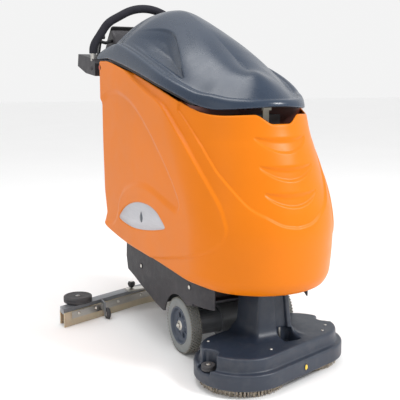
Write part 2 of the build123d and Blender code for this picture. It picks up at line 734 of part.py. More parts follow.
def float_cage():
    """Cage on the tub's rear wall that guides the float."""
    wall_y = TUB_REAR - TUB_WALL
    y = wall_y - CAGE_R - 10
    ring = Circle(CAGE_R + CAGE_BAR) - Circle(CAGE_R)
    cage = extrude(Pos(0, y, CAGE_Z) * ring, amount=CAGE_H)
    for turn in (0, 90):
        slot = Pos(0, y, CAGE_Z + CAGE_H / 2) * Rot(0, 0, turn) * Box(100, 22, CAGE_H - 24)
        cage -= slot
    cage += post(0, y, CAGE_Z - 4, CAGE_Z, CAGE_R + CAGE_BAR)
    cage += post(0, y, CAGE_Z + CAGE_H, CAGE_Z + CAGE_H + 4, CAGE_R + CAGE_BAR)
    foot_y = y + CAGE_R + 1
    return cage + block(-14, 14, foot_y, wall_y, CAGE_Z - 4, CAGE_Z + 10)


def float_ball():
    """Hollow-ball float, resting in the cage."""
    y = TUB_REAR - TUB_WALL - CAGE_R - 10
    return Pos(0, y, CAGE_Z + FLOAT_R + EASY_GAP) * Sphere(FLOAT_R)


# ------------------------------------------------------------------ console and controls

def panel_plane(lift=0.0):
    """Plane on the sloping operator face, z outwards."""
    y = (PANEL_TOP[0] + PANEL_LOW[0]) / 2
    z = (PANEL_TOP[1] + PANEL_LOW[1]) / 2
    dy = PANEL_LOW[0] - PANEL_TOP[0]
    dz = PANEL_TOP[1] - PANEL_LOW[1]
    size = (dy * dy + dz * dz) ** 0.5
    normal = (0, dz / size, dy / size)
    base = Plane(origin=(0, y, z), x_dir=(-1, 0, 0), z_dir=normal)
    return base.offset(lift)


def console_housing():
    """Console block with the control pod, and the neck that bolts to the tank."""
    base = [(CONSOLE_FRONT, 960), (882, 973), (REAR_END, 1005), (977, 1056), (800, 1034),
            (CONSOLE_FRONT, 1012)]
    neck = [(TANK_REAR, 870), (TANK_REAR + 12, 870), (850, 972), (CONSOLE_FRONT, 972),
            (CONSOLE_FRONT, 948), (TANK_REAR, 930)]
    pod = [(800, 1030), (842, 1166), (850, 1174), PANEL_TOP, PANEL_LOW, (977, 1056), (977, 1040)]
    body = hollow_prism(base, -CONSOLE_HALF, CONSOLE_HALF, CONSOLE_WALL)
    body += hollow_prism(neck, -NECK_HALF, NECK_HALF, CONSOLE_WALL)
    body += hollow_prism(pod, -POD_HALF, POD_HALF, CONSOLE_WALL)
    for side in (-1, 1):
        body += post(side * HANDLE_FOOT_X, HANDLE_Y, CONSOLE_LOW + 5, GRIP_FOOT_Z - EASY_GAP, GRIP_R)
        body -= post(side * HANDLE_FOOT_X, HANDLE_Y, HANDLE_FOOT_Z, 1200, TUBE_R)
        x0, x1 = sorted((LEVER_X + side * (LEVER_T / 2 + 1), LEVER_X + side * (LEVER_T / 2 + 5)))
        body += block(x0, x1, LEVER_Y - 64, LEVER_Y + 22, LEVER_Z - 18, LEVER_Z + 12)
    for x, y, r in PANEL_BORES:
        body -= panel_plane() * Pos(x, y, -20) * Cylinder(r + 0.5, 60)
    body -= lever_slot()
    return body


def control_panel():
    """Keypad plate on the sloping face."""
    plate = panel_plane() * extrude(RectangleRounded(PANEL_W, PANEL_L, 10), amount=PANEL_T)
    for x, y, r in PANEL_BORES:
        plate -= panel_plane() * Pos(x, y, 0) * Cylinder(r + 0.5, 60)
    room = extrude(Rectangle(DISPLAY_W, DISPLAY_H), amount=10)
    return plate - panel_plane(1.5) * Pos(*DISPLAY_SPOT, 0) * room


def display_screen():
    """Screen let into the panel."""
    shape = extrude(Rectangle(DISPLAY_W - 0.6, DISPLAY_H - 0.6), amount=3)
    return panel_plane(1.5) * Pos(*DISPLAY_SPOT, 0) * shape


def on_panel(x, y, shape):
    """Place a shape made about +Z on the panel."""
    return panel_plane() * Pos(x, y, 0) * shape


def button(index):
    """Round push button with a stem through the panel."""
    x, y = BUTTON_SPOTS[index]
    cap = Pos(0, 0, 1) * Cylinder(BUTTON_R - 0.4 + 0.5, 18)
    return on_panel(x, y, cap)


def key_switch():
    """Key and barrel."""
    barrel = Pos(0, 0, -2) * Cylinder(KEY_R, 20)
    return on_panel(*KEY_SPOT, barrel + Pos(0, 0, 18) * Box(3, 18, 22))


def emergency_stop():
    """Mushroom-headed stop button."""
    stem = Pos(0, 0, 2) * Cylinder(STOP_R, 26)
    return on_panel(*STOP_SPOT, stem + Pos(0, 0, 19) * Cylinder(17, 10))


def dosing_knob():
    """Solution dosing knob."""
    stem = Pos(0, 0, 0) * Cylinder(DOSE_R, 22)
    knob = Pos(0, 0, 13) * Cylinder(15, 16) + Pos(0, 11, 22) * Box(3, 7, 3)
    return on_panel(*DOSE_SPOT, stem + knob)


def lever_slot():
    """Slot in the console for the squeegee lever."""
    return block(LEVER_X - LEVER_T / 2 - 1, LEVER_X + LEVER_T / 2 + 1, LEVER_Y - 62, LEVER_Y + 20,
                 LEVER_Z - 16, 1080)


def squeegee_lever():
    """Hand lever that lifts the squeegee, with its pivot eye."""
    eye = bar_x(LEVER_X - LEVER_T / 2, LEVER_X + LEVER_T / 2, LEVER_Y, LEVER_Z, LEVER_R + 4)
    shape = [(LEVER_Y - 9, LEVER_Z + 6), (LEVER_Y + 9, LEVER_Z + 6), (LEVER_Y - 34, LEVER_Z + 96),
             (LEVER_Y - 50, LEVER_Z + 90)]
    arm = side_polygon(shape, LEVER_X - 4, LEVER_X + 4)
    grip = bar_x(LEVER_X - 16, LEVER_X + 16, LEVER_Y - 42, LEVER_Z + 94, 10)
    bore = bar_x(LEVER_X - 30, LEVER_X + 30, LEVER_Y, LEVER_Z, LEVER_PIN_R + RUN_GAP)
    return eye + arm + grip - bore


def lever_pin():
    """Pin of the squeegee lever, fixed in the console."""
    return bar_x(LEVER_X - 14, LEVER_X + 14, LEVER_Y, LEVER_Z, LEVER_PIN_R)


def presence_lever():
    """Paddle behind the panel that the operator holds to drive."""
    y, z = PADDLE_Y, PADDLE_Z
    shape = [(y - 4, z - 4), (y + 4, z - 4), (y + 9, z + 44), (y + 1, z + 46)]
    paddle = side_polygon(shape, -PADDLE_HALF, PADDLE_HALF)
    paddle += bar_x(-PADDLE_HALF, PADDLE_HALF, y, z, 7)
    return paddle - bar_x(-PADDLE_HALF - 1, PADDLE_HALF + 1, y, z, PADDLE_ROD_R + RUN_GAP)


def paddle_rod():
    """Rod and two ears that carry the paddle."""
    rod = bar_x(-PADDLE_HALF - 4, PADDLE_HALF + 4, PADDLE_Y, PADDLE_Z, PADDLE_ROD_R)
    for side in (-1, 1):
        x0 = side * (PADDLE_HALF + EASY_GAP)
        x1 = side * (PADDLE_HALF + 7)
        y, z = PADDLE_Y, PADDLE_Z
        shape = [(y - 18, z - 28), (y - 2, z - 22), (y + 6, z - 6), (y + 6, z + 5), (y - 6, z + 6)]
        rod += side_polygon(shape, min(x0, x1), max(x0, x1))
    return rod


def handle_path():
    """Centre line of the handle arch."""
    z0 = HANDLE_FOOT_Z
    points = [(-HANDLE_FOOT_X, z0), (-HANDLE_FOOT_X, z0 + 62), (-168, 1180), (0, 1270),
              (168, 1180), (HANDLE_FOOT_X, z0 + 62), (HANDLE_FOOT_X, z0)]
    line = FilletPolyline(*points, radius=[70, 110, 200, 110, 70])
    return Plane(origin=(0, HANDLE_Y, 0), x_dir=(1, 0, 0), z_dir=(0, -1, 0)) * line


def handle_tube():
    """Bent steel tube of the handle."""
    path = handle_path()
    start = Plane(origin=path @ 0, z_dir=path % 0)
    return sweep(start * Circle(TUBE_R), path=path)


def handle_grip():
    """Foam grip on the tube, above the console."""
    path = handle_path()
    start = Plane(origin=path @ 0, z_dir=path % 0)
    sleeve = sweep(start * (Circle(GRIP_R) - Circle(TUBE_R + 0.2)), path=path)
    return sleeve & block(-400, 400, 700, 900, GRIP_FOOT_Z, 1400)

# ---------------------------------------------------------------------------- brush deck

def brush_centre(side):
    """Brush centre; side is -1 for the right brush and 1 for the left."""
    x = side * BRUSH_SPACING / 2 * cos(radians(STAGGER))
    return x, DECK_Y + side * BRUSH_SPACING / 2 * sin(radians(STAGGER))


def deck_slot(r, z0, z1):
    """Stadium around both brush centres."""
    face = Pos(0, DECK_Y, z0) * Rot(0, 0, STAGGER) * SlotCenterToCenter(BRUSH_SPACING, 2 * r)
    return extrude(face, amount=z1 - z0)


def tower(inset):
    """Tapered tower, smaller by inset all round."""
    depth = TOWER_REAR - TOWER_FRONT - 2 * inset
    mid = (TOWER_REAR + TOWER_FRONT) / 2
    low = Pos(0, mid, STEP_TOP - 10) * RectangleRounded(2 * (TOWER_HALF_LOW - inset), depth, 14)
    top = Pos(0, mid, TOWER_TOP) * RectangleRounded(2 * (TOWER_HALF_TOP - inset), depth - 14, 14)
    return loft([low, top])


def roller_spot(side):
    """Axis of a wall roller."""
    x, y = brush_centre(side)
    turn = radians(180 - WALL_ROLLER_ANGLE)
    return x + side * WALL_ROLLER_REACH * cos(turn), y + side * WALL_ROLLER_REACH * sin(turn)


def deck_cover():
    """Moulded cover: skirt, stepped top, tower, pockets for the wall rollers."""
    skirt = deck_slot(SKIRT_R, SKIRT_LOW, SKIRT_TOP)
    skirt = fillet(skirt.faces().sort_by(Axis.Z)[-1].edges(), 7)
    step = deck_slot(STEP_R, SKIRT_TOP - 8, STEP_TOP)
    step = fillet(step.faces().sort_by(Axis.Z)[-1].edges(), 14)
    for side in (-1, 1):
        x, y = roller_spot(side)
        step -= post(x, y, 0, 300, POCKET_R)
    shell = skirt + step + tower(0)
    w = SKIRT_WALL
    ledge = ROLLER_SEAT - w
    room = deck_slot(SKIRT_R - w, 0, ledge)
    room += deck_slot(STEP_R - w, ledge - 1, STEP_TOP - w)
    for side in (-1, 1):
        x, y = roller_spot(side)
        room -= post(x, y, ledge, 300, POCKET_R + w)
    room += tower(5)
    shell -= room
    shell -= block(-44, 44, TOWER_REAR - 30, TOWER_REAR + 90, STEP_TOP - 60, 400)
    shell -= block(-50, 50, -298, TOWER_FRONT + 2, STEP_TOP - 12, STEP_TOP + 20)
    for side in (-1, 1):
        x0, x1 = sorted((side * WHEEL_NOTCH_X, side * 330))
        shell -= block(x0, x1, WHEEL_NOTCH_Y, 200, 0, 300)
        x, y = roller_spot(side)
        shell -= block(min(x - 22, x + 22), max(x - 22, x + 22), y - 22, y + 22, ROLLER_SEAT, 400)
        shell -= post(x, y, 0, 300, ROLLER_BOLT_R)
    shell -= on_reflector(Pos(0, 0, 1) * Cylinder(REFLECTOR_R, 6))
    for side, dx, dy in COVER_SCREWS:
        x, y = brush_centre(side)
        shell += post(x + dx, y + dy, PLATE_Z + PLATE_T, STEP_TOP - 2, BOSS_R)
        shell -= post(x + dx, y + dy, STEP_TOP - 20, STEP_TOP + 1, COVER_SCREW_R)
    return shell


def reflector_spot():
    """Centre of the front reflector on the skirt's straight front side."""
    turn = radians(STAGGER)
    along = REFLECTOR_ALONG
    x = along * cos(turn) + SKIRT_R * sin(turn)
    return x, DECK_Y + along * sin(turn) - SKIRT_R * cos(turn)


def on_reflector(shape):
    """Place a shape made about +Z on the skirt at the reflector."""
    x, y = reflector_spot()
    return Pos(x, y, REFLECTOR_Z) * Rot(0, 0, STAGGER) * Rot(90, 0, 0) * shape


def deck_reflector():
    """Round reflector with its rim."""
    return on_reflector(Pos(0, 0, 0.5) * Cylinder(REFLECTOR_R, 5))


def deck_frame():
    """Base plate that carries the motors, with the upright cheeks of the linkage."""
    plate = deck_slot(PLATE_R, PLATE_Z, PLATE_Z + PLATE_T)
    for side in (-1, 1):
        x, y = brush_centre(side)
        plate -= post(x, y, 0, 100, 24)
    b_y, b_z = link_end(LINK_LOW_Z)
    u_z = b_z + LINK_RISE
    for side in (-1, 1):
        x0, x1 = sorted((side * (LINK_HALF + 1), side * (LINK_HALF + 1 + LINK_LUG_T)))
        cheek = [(b_y + 40, PLATE_Z + 1), (b_y - 28, PLATE_Z + 1), (b_y - 14, u_z + 13),
                 (b_y + 14, u_z + 13)]
        plate += side_polygon(cheek, x0, x1)
    plate += bar_x(-LINK_HALF - 2, LINK_HALF + 2, b_y, b_z, LINK_PIN_R)
    plate += bar_x(-LINK_HALF - 2, LINK_HALF + 2, b_y, u_z, LINK_PIN_R)
    return plate


def link_end(z):
    """Deck end of a link that starts at height z."""
    slope = radians(LINK_SLOPE)
    return LINK_PIVOT_Y - LINK_LENGTH * cos(slope), z - LINK_LENGTH * sin(slope)


def lift_link(z, half, end_gap):
    """Parallel link with an eye at each end."""
    y1, z1 = link_end(z)
    eyes = bar_x(-half, half, LINK_PIVOT_Y, z, LINK_EYE_R) + bar_x(-half, half, y1, z1, LINK_EYE_R)
    slope = radians(LINK_SLOPE)
    dy, dz = 8 * sin(slope), 8 * cos(slope)
    web = side_polygon([(LINK_PIVOT_Y - dy, z + dz), (LINK_PIVOT_Y + dy, z - dz),
                        (y1 + dy, z1 - dz), (y1 - dy, z1 + dz)], -half, half)
    link = eyes + web
    link -= bar_x(-half - 1, half + 1, LINK_PIVOT_Y, z, LINK_PIN_R + RUN_GAP)
    return link - bar_x(-half - 1, half + 1, y1, z1, LINK_PIN_R + end_gap)


def brush_motors():
    """The two brush motors."""
    return Compound(children=[*brush_motor(-1).solids(), *brush_motor(1).solids()])


def brush_motor(side):
    """Flat geared motor above a brush."""
    x, y = brush_centre(side)
    low = PLATE_Z + PLATE_T
    motor = post(x, y, low, MOTOR_TOP, MOTOR_R)
    motor = fillet(motor.faces().sort_by(Axis.Z)[-1].edges(), 6)
    return motor - post(x, y, low - 1, MOTOR_TOP - 8, SPINDLE_R + RUN_GAP)


def brush_block(side):
    """Brush back with its spindle."""
    x, y = brush_centre(side)
    disc = post(x, y, BRISTLE_H, BLOCK_TOP, BRUSH_R)
    disc = chamfer(disc.faces().sort_by(Axis.Z)[-1].edges(), 4)
    return disc + post(x, y, BLOCK_TOP - 1, MOTOR_TOP - 12, SPINDLE_R)


def bristles(side):
    """Ring of bristles, slightly flared to the floor."""
    x, y = brush_centre(side)
    profile = Polyline((BRISTLE_INNER, 0), (BRISTLE_R, 0), (BRUSH_R - 3, BRISTLE_H),
                       (BRISTLE_INNER + 3, BRISTLE_H), close=True)
    return Pos(x, y, 0) * revolve(Plane.XZ * make_face(profile), Axis.Z)


def wall_roller(side):
    """Wall roller at the deck's outer corner."""
    x, y = roller_spot(side)
    z0 = ROLLER_SEAT + EASY_GAP
    wheel = post(x, y, z0, z0 + WALL_ROLLER_T, WALL_ROLLER_R)
    wheel = fillet(wheel.edges().filter_by(GeomType.CIRCLE), 2.5)
    return wheel - post(x, y, 0, 300, ROLLER_BOLT_R + RUN_GAP)


def deck_fasteners():
    """Cover screws and the bolts of the wall rollers."""
    bolts = []
    for side, dx, dy in COVER_SCREWS:
        x, y = brush_centre(side)
        bolts.append(post(x + dx, y + dy, STEP_TOP - 6, STEP_TOP, COVER_SCREW_R)
                     + post(x + dx, y + dy, STEP_TOP, STEP_TOP + 3, 6))
    for side in (-1, 1):
        x, y = roller_spot(side)
        top = ROLLER_SEAT + WALL_ROLLER_T + 2 * EASY_GAP
        bolts.append(post(x, y, ROLLER_SEAT - 6, top, ROLLER_BOLT_R) + post(x, y, top, top + 4, 8))
    return Compound(children=bolts)


# ------------------------------------------------------------------------------ squeegee

def blade_line(offset):
    """Centre line of the squeegee, moved back by offset, as (x, y) points."""
    slope = radians(BLADE_SLOPE)
    back = offset / cos(slope)
    apex = BLADE_APEX_Y + back
    end = apex - BLADE_HALF * tan(slope)
    return FilletPolyline((-BLADE_HALF, end), (0, apex), (BLADE_HALF, end), radius=BLADE_BEND_R + offset)


def curved_strip(front, back, z0, z1):
    """Solid between two offsets of the squeegee line."""
    near, far = blade_line(front), blade_line(back)
    face = make_face([near, Line(near @ 1, far @ 1), far, Line(far @ 0, near @ 0)])
    return extrude(Pos(0, 0, z0) * face, amount=z1 - z0)


def blade_y(x, offset=0.0):
    """Y of the squeegee's straight stretch at x."""
    slope = radians(BLADE_SLOPE)
    return BLADE_APEX_Y - abs(x) * tan(slope) + offset / cos(slope)


def squeegee_beam():
    """Channel beam with the suction spigot, trolley brackets and roller bosses."""
    beam = curved_strip(-BEAM_HALF, BEAM_HALF, BEAM_LOW, BEAM_TOP)
    inner = BEAM_HALF - 6
    beam -= curved_strip(-inner, inner, BEAM_LOW - 1, BEAM_TOP - 5)
    for x in (-BLADE_HALF, BLADE_HALF):
        x0, x1 = sorted((x, x * 0.985))
        beam += block(x0, x1, blade_y(x, -inner - 2), blade_y(x, inner + 3), BEAM_LOW, BEAM_TOP)
    above = block(-60, 60, 600, 800, BEAM_TOP - 5, 200)
    beam += spigot(SPIGOT_R, -SPIGOT_ROOT, SPIGOT_H) & above
    beam += spigot(SPIGOT_R + SPIGOT_COLLAR_T, -SPIGOT_ROOT, SPIGOT_COLLAR) & above
    beam -= spigot(SPIGOT_R - SPIGOT_WALL, -SPIGOT_ROOT - 20, SPIGOT_H + 1)
    for side in (-1, 1):
        y = blade_y(END_ROLLER_X, END_ROLLER_BACK)
        beam += post(side * END_ROLLER_X, y, BLADE_TOP + 1, BEAM_TOP, 20)
        beam += post(side * END_ROLLER_X, y, BEAM_TOP - 1, END_ROLLER_TOP, END_ROLLER_PIN_R)
        beam += post(side * KNOB_X, KNOB_Y, BEAM_LOW + 4, BEAM_TOP, 12)
        beam -= post(side * KNOB_X, KNOB_Y, 0, 200, STUD_R + RUN_GAP)
        beam += trolley_bracket(side)
    return beam


def spigot(r, start, end):
    """Cylinder along the suction spigot, which leans back to clear the tank and the console."""
    lean = radians(SPIGOT_LEAN)
    base = Plane(origin=(0, BLADE_APEX_Y - SPIGOT_AHEAD, BEAM_TOP), z_dir=(0, sin(lean), cos(lean)))
    return base.offset(start) * extrude(Circle(r), amount=end - start)


def trolley_bracket(side):
    """Arm in front of the beam with the trolley wheel's axle."""
    x0 = TROLLEY_X + TROLLEY_W / 2 + 1
    low = BLADE_TOP + 1
    shape = [(TROLLEY_Y - 8, TROLLEY_R - 8), (TROLLEY_Y + 8, TROLLEY_R - 8), (TROLLEY_Y + 16, low),
             (blade_y(TROLLEY_X, -12), low), (blade_y(TROLLEY_X, -12), BEAM_TOP),
             (TROLLEY_Y - 4, BEAM_TOP - 4)]
    arm = side_polygon(shape, x0, x0 + 5)
    arm += bar_x(TROLLEY_X - TROLLEY_W / 2 - 2, x0 + 1, TROLLEY_Y, TROLLEY_R, TROLLEY_AXLE_R)
    return arm if side > 0 else mirrored(arm)


def squeegee_blades():
    """Rubber blades in front of and behind the suction channel."""
    front = curved_strip(-BEAM_HALF - BLADE_T, -BEAM_HALF, 0, BLADE_TOP)
    back = curved_strip(BEAM_HALF, BEAM_HALF + BLADE_T, 0, BLADE_TOP)
    return Compound(children=[*front.solids(), *back.solids()])


def squeegee_strips():
    """Steel strips that clamp the blades to the beam."""
    edge = BEAM_HALF + BLADE_T
    back = curved_strip(edge, edge + STRIP_T, STRIP_LOW, BLADE_TOP)
    front = curved_strip(-edge - STRIP_T, -edge, STRIP_LOW, BLADE_TOP)
    for side in (-1, 1):
        x0, x1 = sorted((side * (TROLLEY_X - 14), side * (TROLLEY_X + 18)))
        front -= block(x0, x1, 400, 700, 0, 100)
    return Compound(children=[*front.solids(), *back.solids()])


def end_roller(side):
    """Deflector roller near the beam's end."""
    y = blade_y(END_ROLLER_X, END_ROLLER_BACK)
    z0 = BEAM_TOP + EASY_GAP
    wheel = post(side * END_ROLLER_X, y, z0, z0 + END_ROLLER_T, END_ROLLER_R)
    wheel = fillet(wheel.edges().filter_by(GeomType.CIRCLE), 4)
    return wheel - post(side * END_ROLLER_X, y, 0, 300, END_ROLLER_PIN_R + RUN_GAP)


def trolley_wheel(side):
    """Small wheel that carries the beam."""
    half = TROLLEY_W / 2
    x = side * TROLLEY_X
    wheel = bar_x(x - half, x + half, TROLLEY_Y, TROLLEY_R, TROLLEY_R)
    wheel = fillet(wheel.edges().filter_by(GeomType.CIRCLE), 2)
    return wheel - bar_x(x - half - 1, x + half + 1, TROLLEY_Y, TROLLEY_R, TROLLEY_AXLE_R + RUN_GAP)


def squeegee_bracket():
    """Swing bracket: tongue on the swing pin and cross plate on the beam."""
    low = BEAM_TOP
    mid = low + BRACKET_T
    top = mid + TONGUE_T
    plate = block(-KNOB_X - 24, KNOB_X + 24, KNOB_Y - 27, KNOB_Y + 12, low, mid)
    plate += block(-28, 28, SWING_Y, KNOB_Y, mid, top) + post(0, SWING_Y, mid, top, 28)
    plate -= post(0, SWING_Y, 0, 200, SWING_R + RUN_GAP)
    for side in (-1, 1):
        plate -= post(side * KNOB_X, KNOB_Y, 0, 200, STUD_R + RUN_GAP)
    return plate


def clamp_knob(side):
    """Star knob with its stud."""
    z0 = BEAM_TOP + BRACKET_T + EASY_GAP
    x = side * KNOB_X
    knob = post(x, KNOB_Y, z0, z0 + 12, 11) + post(x, KNOB_Y, z0 + 10, z0 + 28, KNOB_R)
    for i in range(6):
        turn = radians(60 * i)
        knob -= post(x + (KNOB_R + 3) * cos(turn), KNOB_Y + (KNOB_R + 3) * sin(turn), z0 + 9, z0 + 40, 6)
    return knob + post(x, KNOB_Y, BEAM_LOW + 6, z0 + 1, STUD_R)


def squeegee_arm():
    """Lift frame: two side arms, crossbar and the swing pin."""
    arms = None
    for side in (-1, 1):
        x0, x1 = sorted((side * (ARM_X - ARM_T / 2), side * (ARM_X + ARM_T / 2)))
        arm = side_polygon([(ARM_PIVOT_Y - 8, ARM_PIVOT_Z + 10), (ARM_PIVOT_Y - 8, ARM_PIVOT_Z - 10),
                            (ARM_PIVOT_Y + 30, ARM_LOW), (SWING_Y + 12, ARM_LOW),
                            (SWING_Y + 12, ARM_TOP), (ARM_PIVOT_Y + 40, ARM_TOP)], x0, x1)
        arm += bar_x(x0, x1, ARM_PIVOT_Y, ARM_PIVOT_Z, ARM_EYE_R)
        arm -= bar_x(x0 - 1, x1 + 1, ARM_PIVOT_Y, ARM_PIVOT_Z, ARM_PIN_R + RUN_GAP)
        arms = arm if arms is None else arms + arm
    arms += block(-ARM_X, ARM_X, SWING_Y - 12, SWING_Y + 12, ARM_LOW, ARM_TOP)
    gap_top = BEAM_TOP + BRACKET_T + TONGUE_T + EASY_GAP
    arms += post(0, SWING_Y, gap_top, ARM_LOW + 1, 16)
    return arms + post(0, SWING_Y, BEAM_TOP - 6, gap_top + 1, SWING_R)


def build():
    """Make every part and write it."""
    os.makedirs("parts", exist_ok=True)
    parts = {
        "chassis_tray": screw_holes(chassis_tray()),
        "chassis_screws": chassis_screws(),
        "transaxle": transaxle(),
        "castor_plate": castor_plate(),
        "castor_fork": castor_fork(),
        "castor_hub": castor_hub(),
        "castor_tyre": castor_tyre(),
        "solution_tank": solution_tank(),
        "recovery_tub": recovery_tub(),
        "fill_strainer": fill_strainer(),
        "level_strap": level_strap(),
        "lid_shell": lid_shell(),
        "lid_seal": lid_seal(),
        "lid_hinge_pins": lid_hinge_pins(),
        "vac_housing": vac_housing(),
        "vac_impeller": vac_impeller(),
        "float_cage": float_cage(),
        "float_ball": float_ball(),
        "console_housing": console_housing() + lever_pin() + paddle_rod(),
        "handle_tube": handle_tube(),
        "handle_grip": handle_grip(),
        "control_panel": control_panel(),
        "display_screen": display_screen(),
        "key_switch": key_switch(),
        "emergency_stop": emergency_stop(),
        "dosing_knob": dosing_knob(),
        "squeegee_lever": squeegee_lever(),
        "presence_lever": presence_lever(),
        "deck_cover": deck_cover(),
        "deck_frame": deck_frame(),
        "brush_motors": brush_motors(),
        "deck_reflector": deck_reflector(),
        "deck_fasteners": deck_fasteners(),
        "deck_lower_arm": lift_link(LINK_LOW_Z, LINK_HALF, RUN_GAP),
        "deck_upper_link": lift_link(LINK_LOW_Z + LINK_RISE, LINK_HALF, OPEN_GAP),
        "squeegee_arm": squeegee_arm(),
        "squeegee_bracket": squeegee_bracket(),
        "squeegee_beam": squeegee_beam(),
        "squeegee_blades": squeegee_blades(),
        "squeegee_strips": squeegee_strips(),
    }
    for index, name in enumerate(("brush_button", "suction_button")):
        parts[name] = button(index)
    for side, hand in ((-1, "right"), (1, "left")):
        parts[f"battery_{hand}"] = battery(side)
        parts[f"tyre_{hand}"] = tyre(side)
        parts[f"rim_{hand}"] = rim(side)
        parts[f"brush_block_{hand}"] = brush_block(side)
        parts[f"bristles_{hand}"] = bristles(side)
        parts[f"wall_roller_{hand}"] = wall_roller(side)
        parts[f"end_roller_{hand}"] = end_roller(side)
        parts[f"trolley_wheel_{hand}"] = trolley_wheel(side)
        parts[f"clamp_knob_{hand}"] = clamp_knob(side)
    for name, shape in parts.items():
        save(shape, name)


build()
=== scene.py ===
"""Looks of a walk-behind floor scrubber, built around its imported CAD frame.

Shapes are worked out in millimetres. Every y is measured from the CAD's own datum plane,
which lies 53 mm ahead of the drive axle, and row() brings points into the row frame.
The camera, and many outlines of the tank, lid, tray and console, come from scratch scripts
that worked out millimetres from points picked by eye on the photograph.
"""
import math
import random

import bmesh
import bpy
import numpy as np
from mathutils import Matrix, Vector


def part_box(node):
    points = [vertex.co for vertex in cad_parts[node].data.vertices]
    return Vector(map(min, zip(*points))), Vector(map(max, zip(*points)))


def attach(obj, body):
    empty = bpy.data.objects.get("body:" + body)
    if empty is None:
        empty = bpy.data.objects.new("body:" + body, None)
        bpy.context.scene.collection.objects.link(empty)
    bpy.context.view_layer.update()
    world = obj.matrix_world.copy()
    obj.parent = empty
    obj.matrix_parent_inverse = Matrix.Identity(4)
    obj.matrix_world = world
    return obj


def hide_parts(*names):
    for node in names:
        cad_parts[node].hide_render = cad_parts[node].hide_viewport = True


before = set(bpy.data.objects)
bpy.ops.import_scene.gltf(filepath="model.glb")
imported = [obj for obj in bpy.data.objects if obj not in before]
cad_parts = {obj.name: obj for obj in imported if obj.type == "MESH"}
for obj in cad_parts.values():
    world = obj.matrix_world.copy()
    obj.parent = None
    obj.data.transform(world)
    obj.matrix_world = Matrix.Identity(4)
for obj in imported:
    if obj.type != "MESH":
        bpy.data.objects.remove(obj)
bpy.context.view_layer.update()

MM = 0.001
AXLE_Y = 53.0
WHEEL_R = 100.0
TYRE_LOW, TYRE_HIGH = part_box("tyre_right")
DATUM = (TYRE_LOW.y + TYRE_HIGH.y) / 2 - AXLE_Y * MM


# ---------------------------------------------------------------------------- helpers

def row(points):
    """Millimetre points, as an array of rows, in the row frame in metres."""
    array = np.array(points, float).reshape(-1, 3) * MM
    array[:, 1] += DATUM
    return array


def box_mm(node):
    """Lowest and highest corner of a CAD node in datum millimetres."""
    low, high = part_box(node)
    shift = Vector((0, DATUM, 0))
    return (low - shift) / MM, (high - shift) / MM


def blend(table, x):
    """Straight-line value from (x, value) pairs in rising x."""
    return np.interp(x, [p[0] for p in table], [p[1] for p in table])


def ease(low, high, x):
    """Smooth step from 0 at low to 1 at high."""
    t = np.clip((np.asarray(x, float) - low) / (high - low), 0, 1)
    return t * t * (3 - 2 * t)


def rounded(points, count, closed=False):
    """Catmull-Rom curve through the points, with count samples on each stretch."""
    p = np.array(points, float)
    n = len(p)
    out = []
    for i in range(n if closed else n - 1):
        if closed:
            a, b, c, d = p[i - 1], p[i], p[(i + 1) % n], p[(i + 2) % n]
        else:
            a, b, c, d = p[max(i - 1, 0)], p[i], p[i + 1], p[min(i + 2, n - 1)]
        for k in range(count):
            t = k / count
            out.append(0.5 * (2 * b + (c - a) * t + (2 * a - 5 * b + 4 * c - d) * t * t
                              + (3 * b - a - 3 * c + d) * t ** 3))
    if not closed:
        out.append(p[-1])
    return np.array(out)


def inside(px, py, polygon):
    """Signed distance to a closed polygon, positive inside."""
    px, py = np.asarray(px, float), np.asarray(py, float)
    best = np.full(px.shape, 1e9)
    within = np.zeros(px.shape, bool)
    for (x0, y0), (x1, y1) in zip(polygon, np.roll(polygon, -1, axis=0)):
        dx, dy = x1 - x0, y1 - y0
        t = np.clip(((px - x0) * dx + (py - y0) * dy) / max(dx * dx + dy * dy, 1e-9), 0, 1)
        best = np.minimum(best, np.hypot(px - x0 - t * dx, py - y0 - t * dy))
        if y0 != y1:
            cross = x0 + (py - y0) * dx / (y1 - y0)
            within ^= ((y0 > py) != (y1 > py)) & (px < cross)
    return np.where(within, best, -best)


def curve(table):
    """Smooth version of a table of points."""
    return rounded(table, 10).tolist()


def grid_faces(rows, cols, loop):
    """Quads of a grid of points; loop joins the last column to the first."""
    faces = []
    for i in range(rows - 1):
        for j in range(cols if loop else cols - 1):
            k = (j + 1) % cols
            faces.append((i * cols + j, i * cols + k, (i + 1) * cols + k, (i + 1) * cols + j))
    return faces


def end_caps(rows, cols, first=True, last=True):
    """Flat faces over the first and the last row of a grid of points."""
    faces = []
    if first:
        faces.append(tuple(reversed(range(cols))))
    if last:
        faces.append(tuple(range((rows - 1) * cols, rows * cols)))
    return faces


def mirrored(grid):
    """Half grid joined to its mirror image, so that each row runs all the way round."""
    image = grid[:, ::-1] * (-1, 1, 1)
    return np.concatenate([grid[:, :-1], image[:, :-1]], axis=1)


def span(side, inner, outer):
    """Lower and higher x of a stretch between two distances from the middle."""
    return sorted((side * inner, side * outer))


def each_side(node):
    """Side name, body and centre of a part that comes right and left."""
    for name in ("right", "left"):
        low, high = box_mm(f"{node}_{name}")
        yield name, f"{node}_{name}_body", (low + high) / 2


def piece(name, points, faces, material, body, stands_for=(), smooth=True):
    """Mesh object from millimetre points, on its body and with its material."""
    mesh = bpy.data.meshes.new(name)
    mesh.from_pydata(row(points).tolist(), [], faces)
    return finish_piece(name, mesh, material, body, stands_for, smooth)


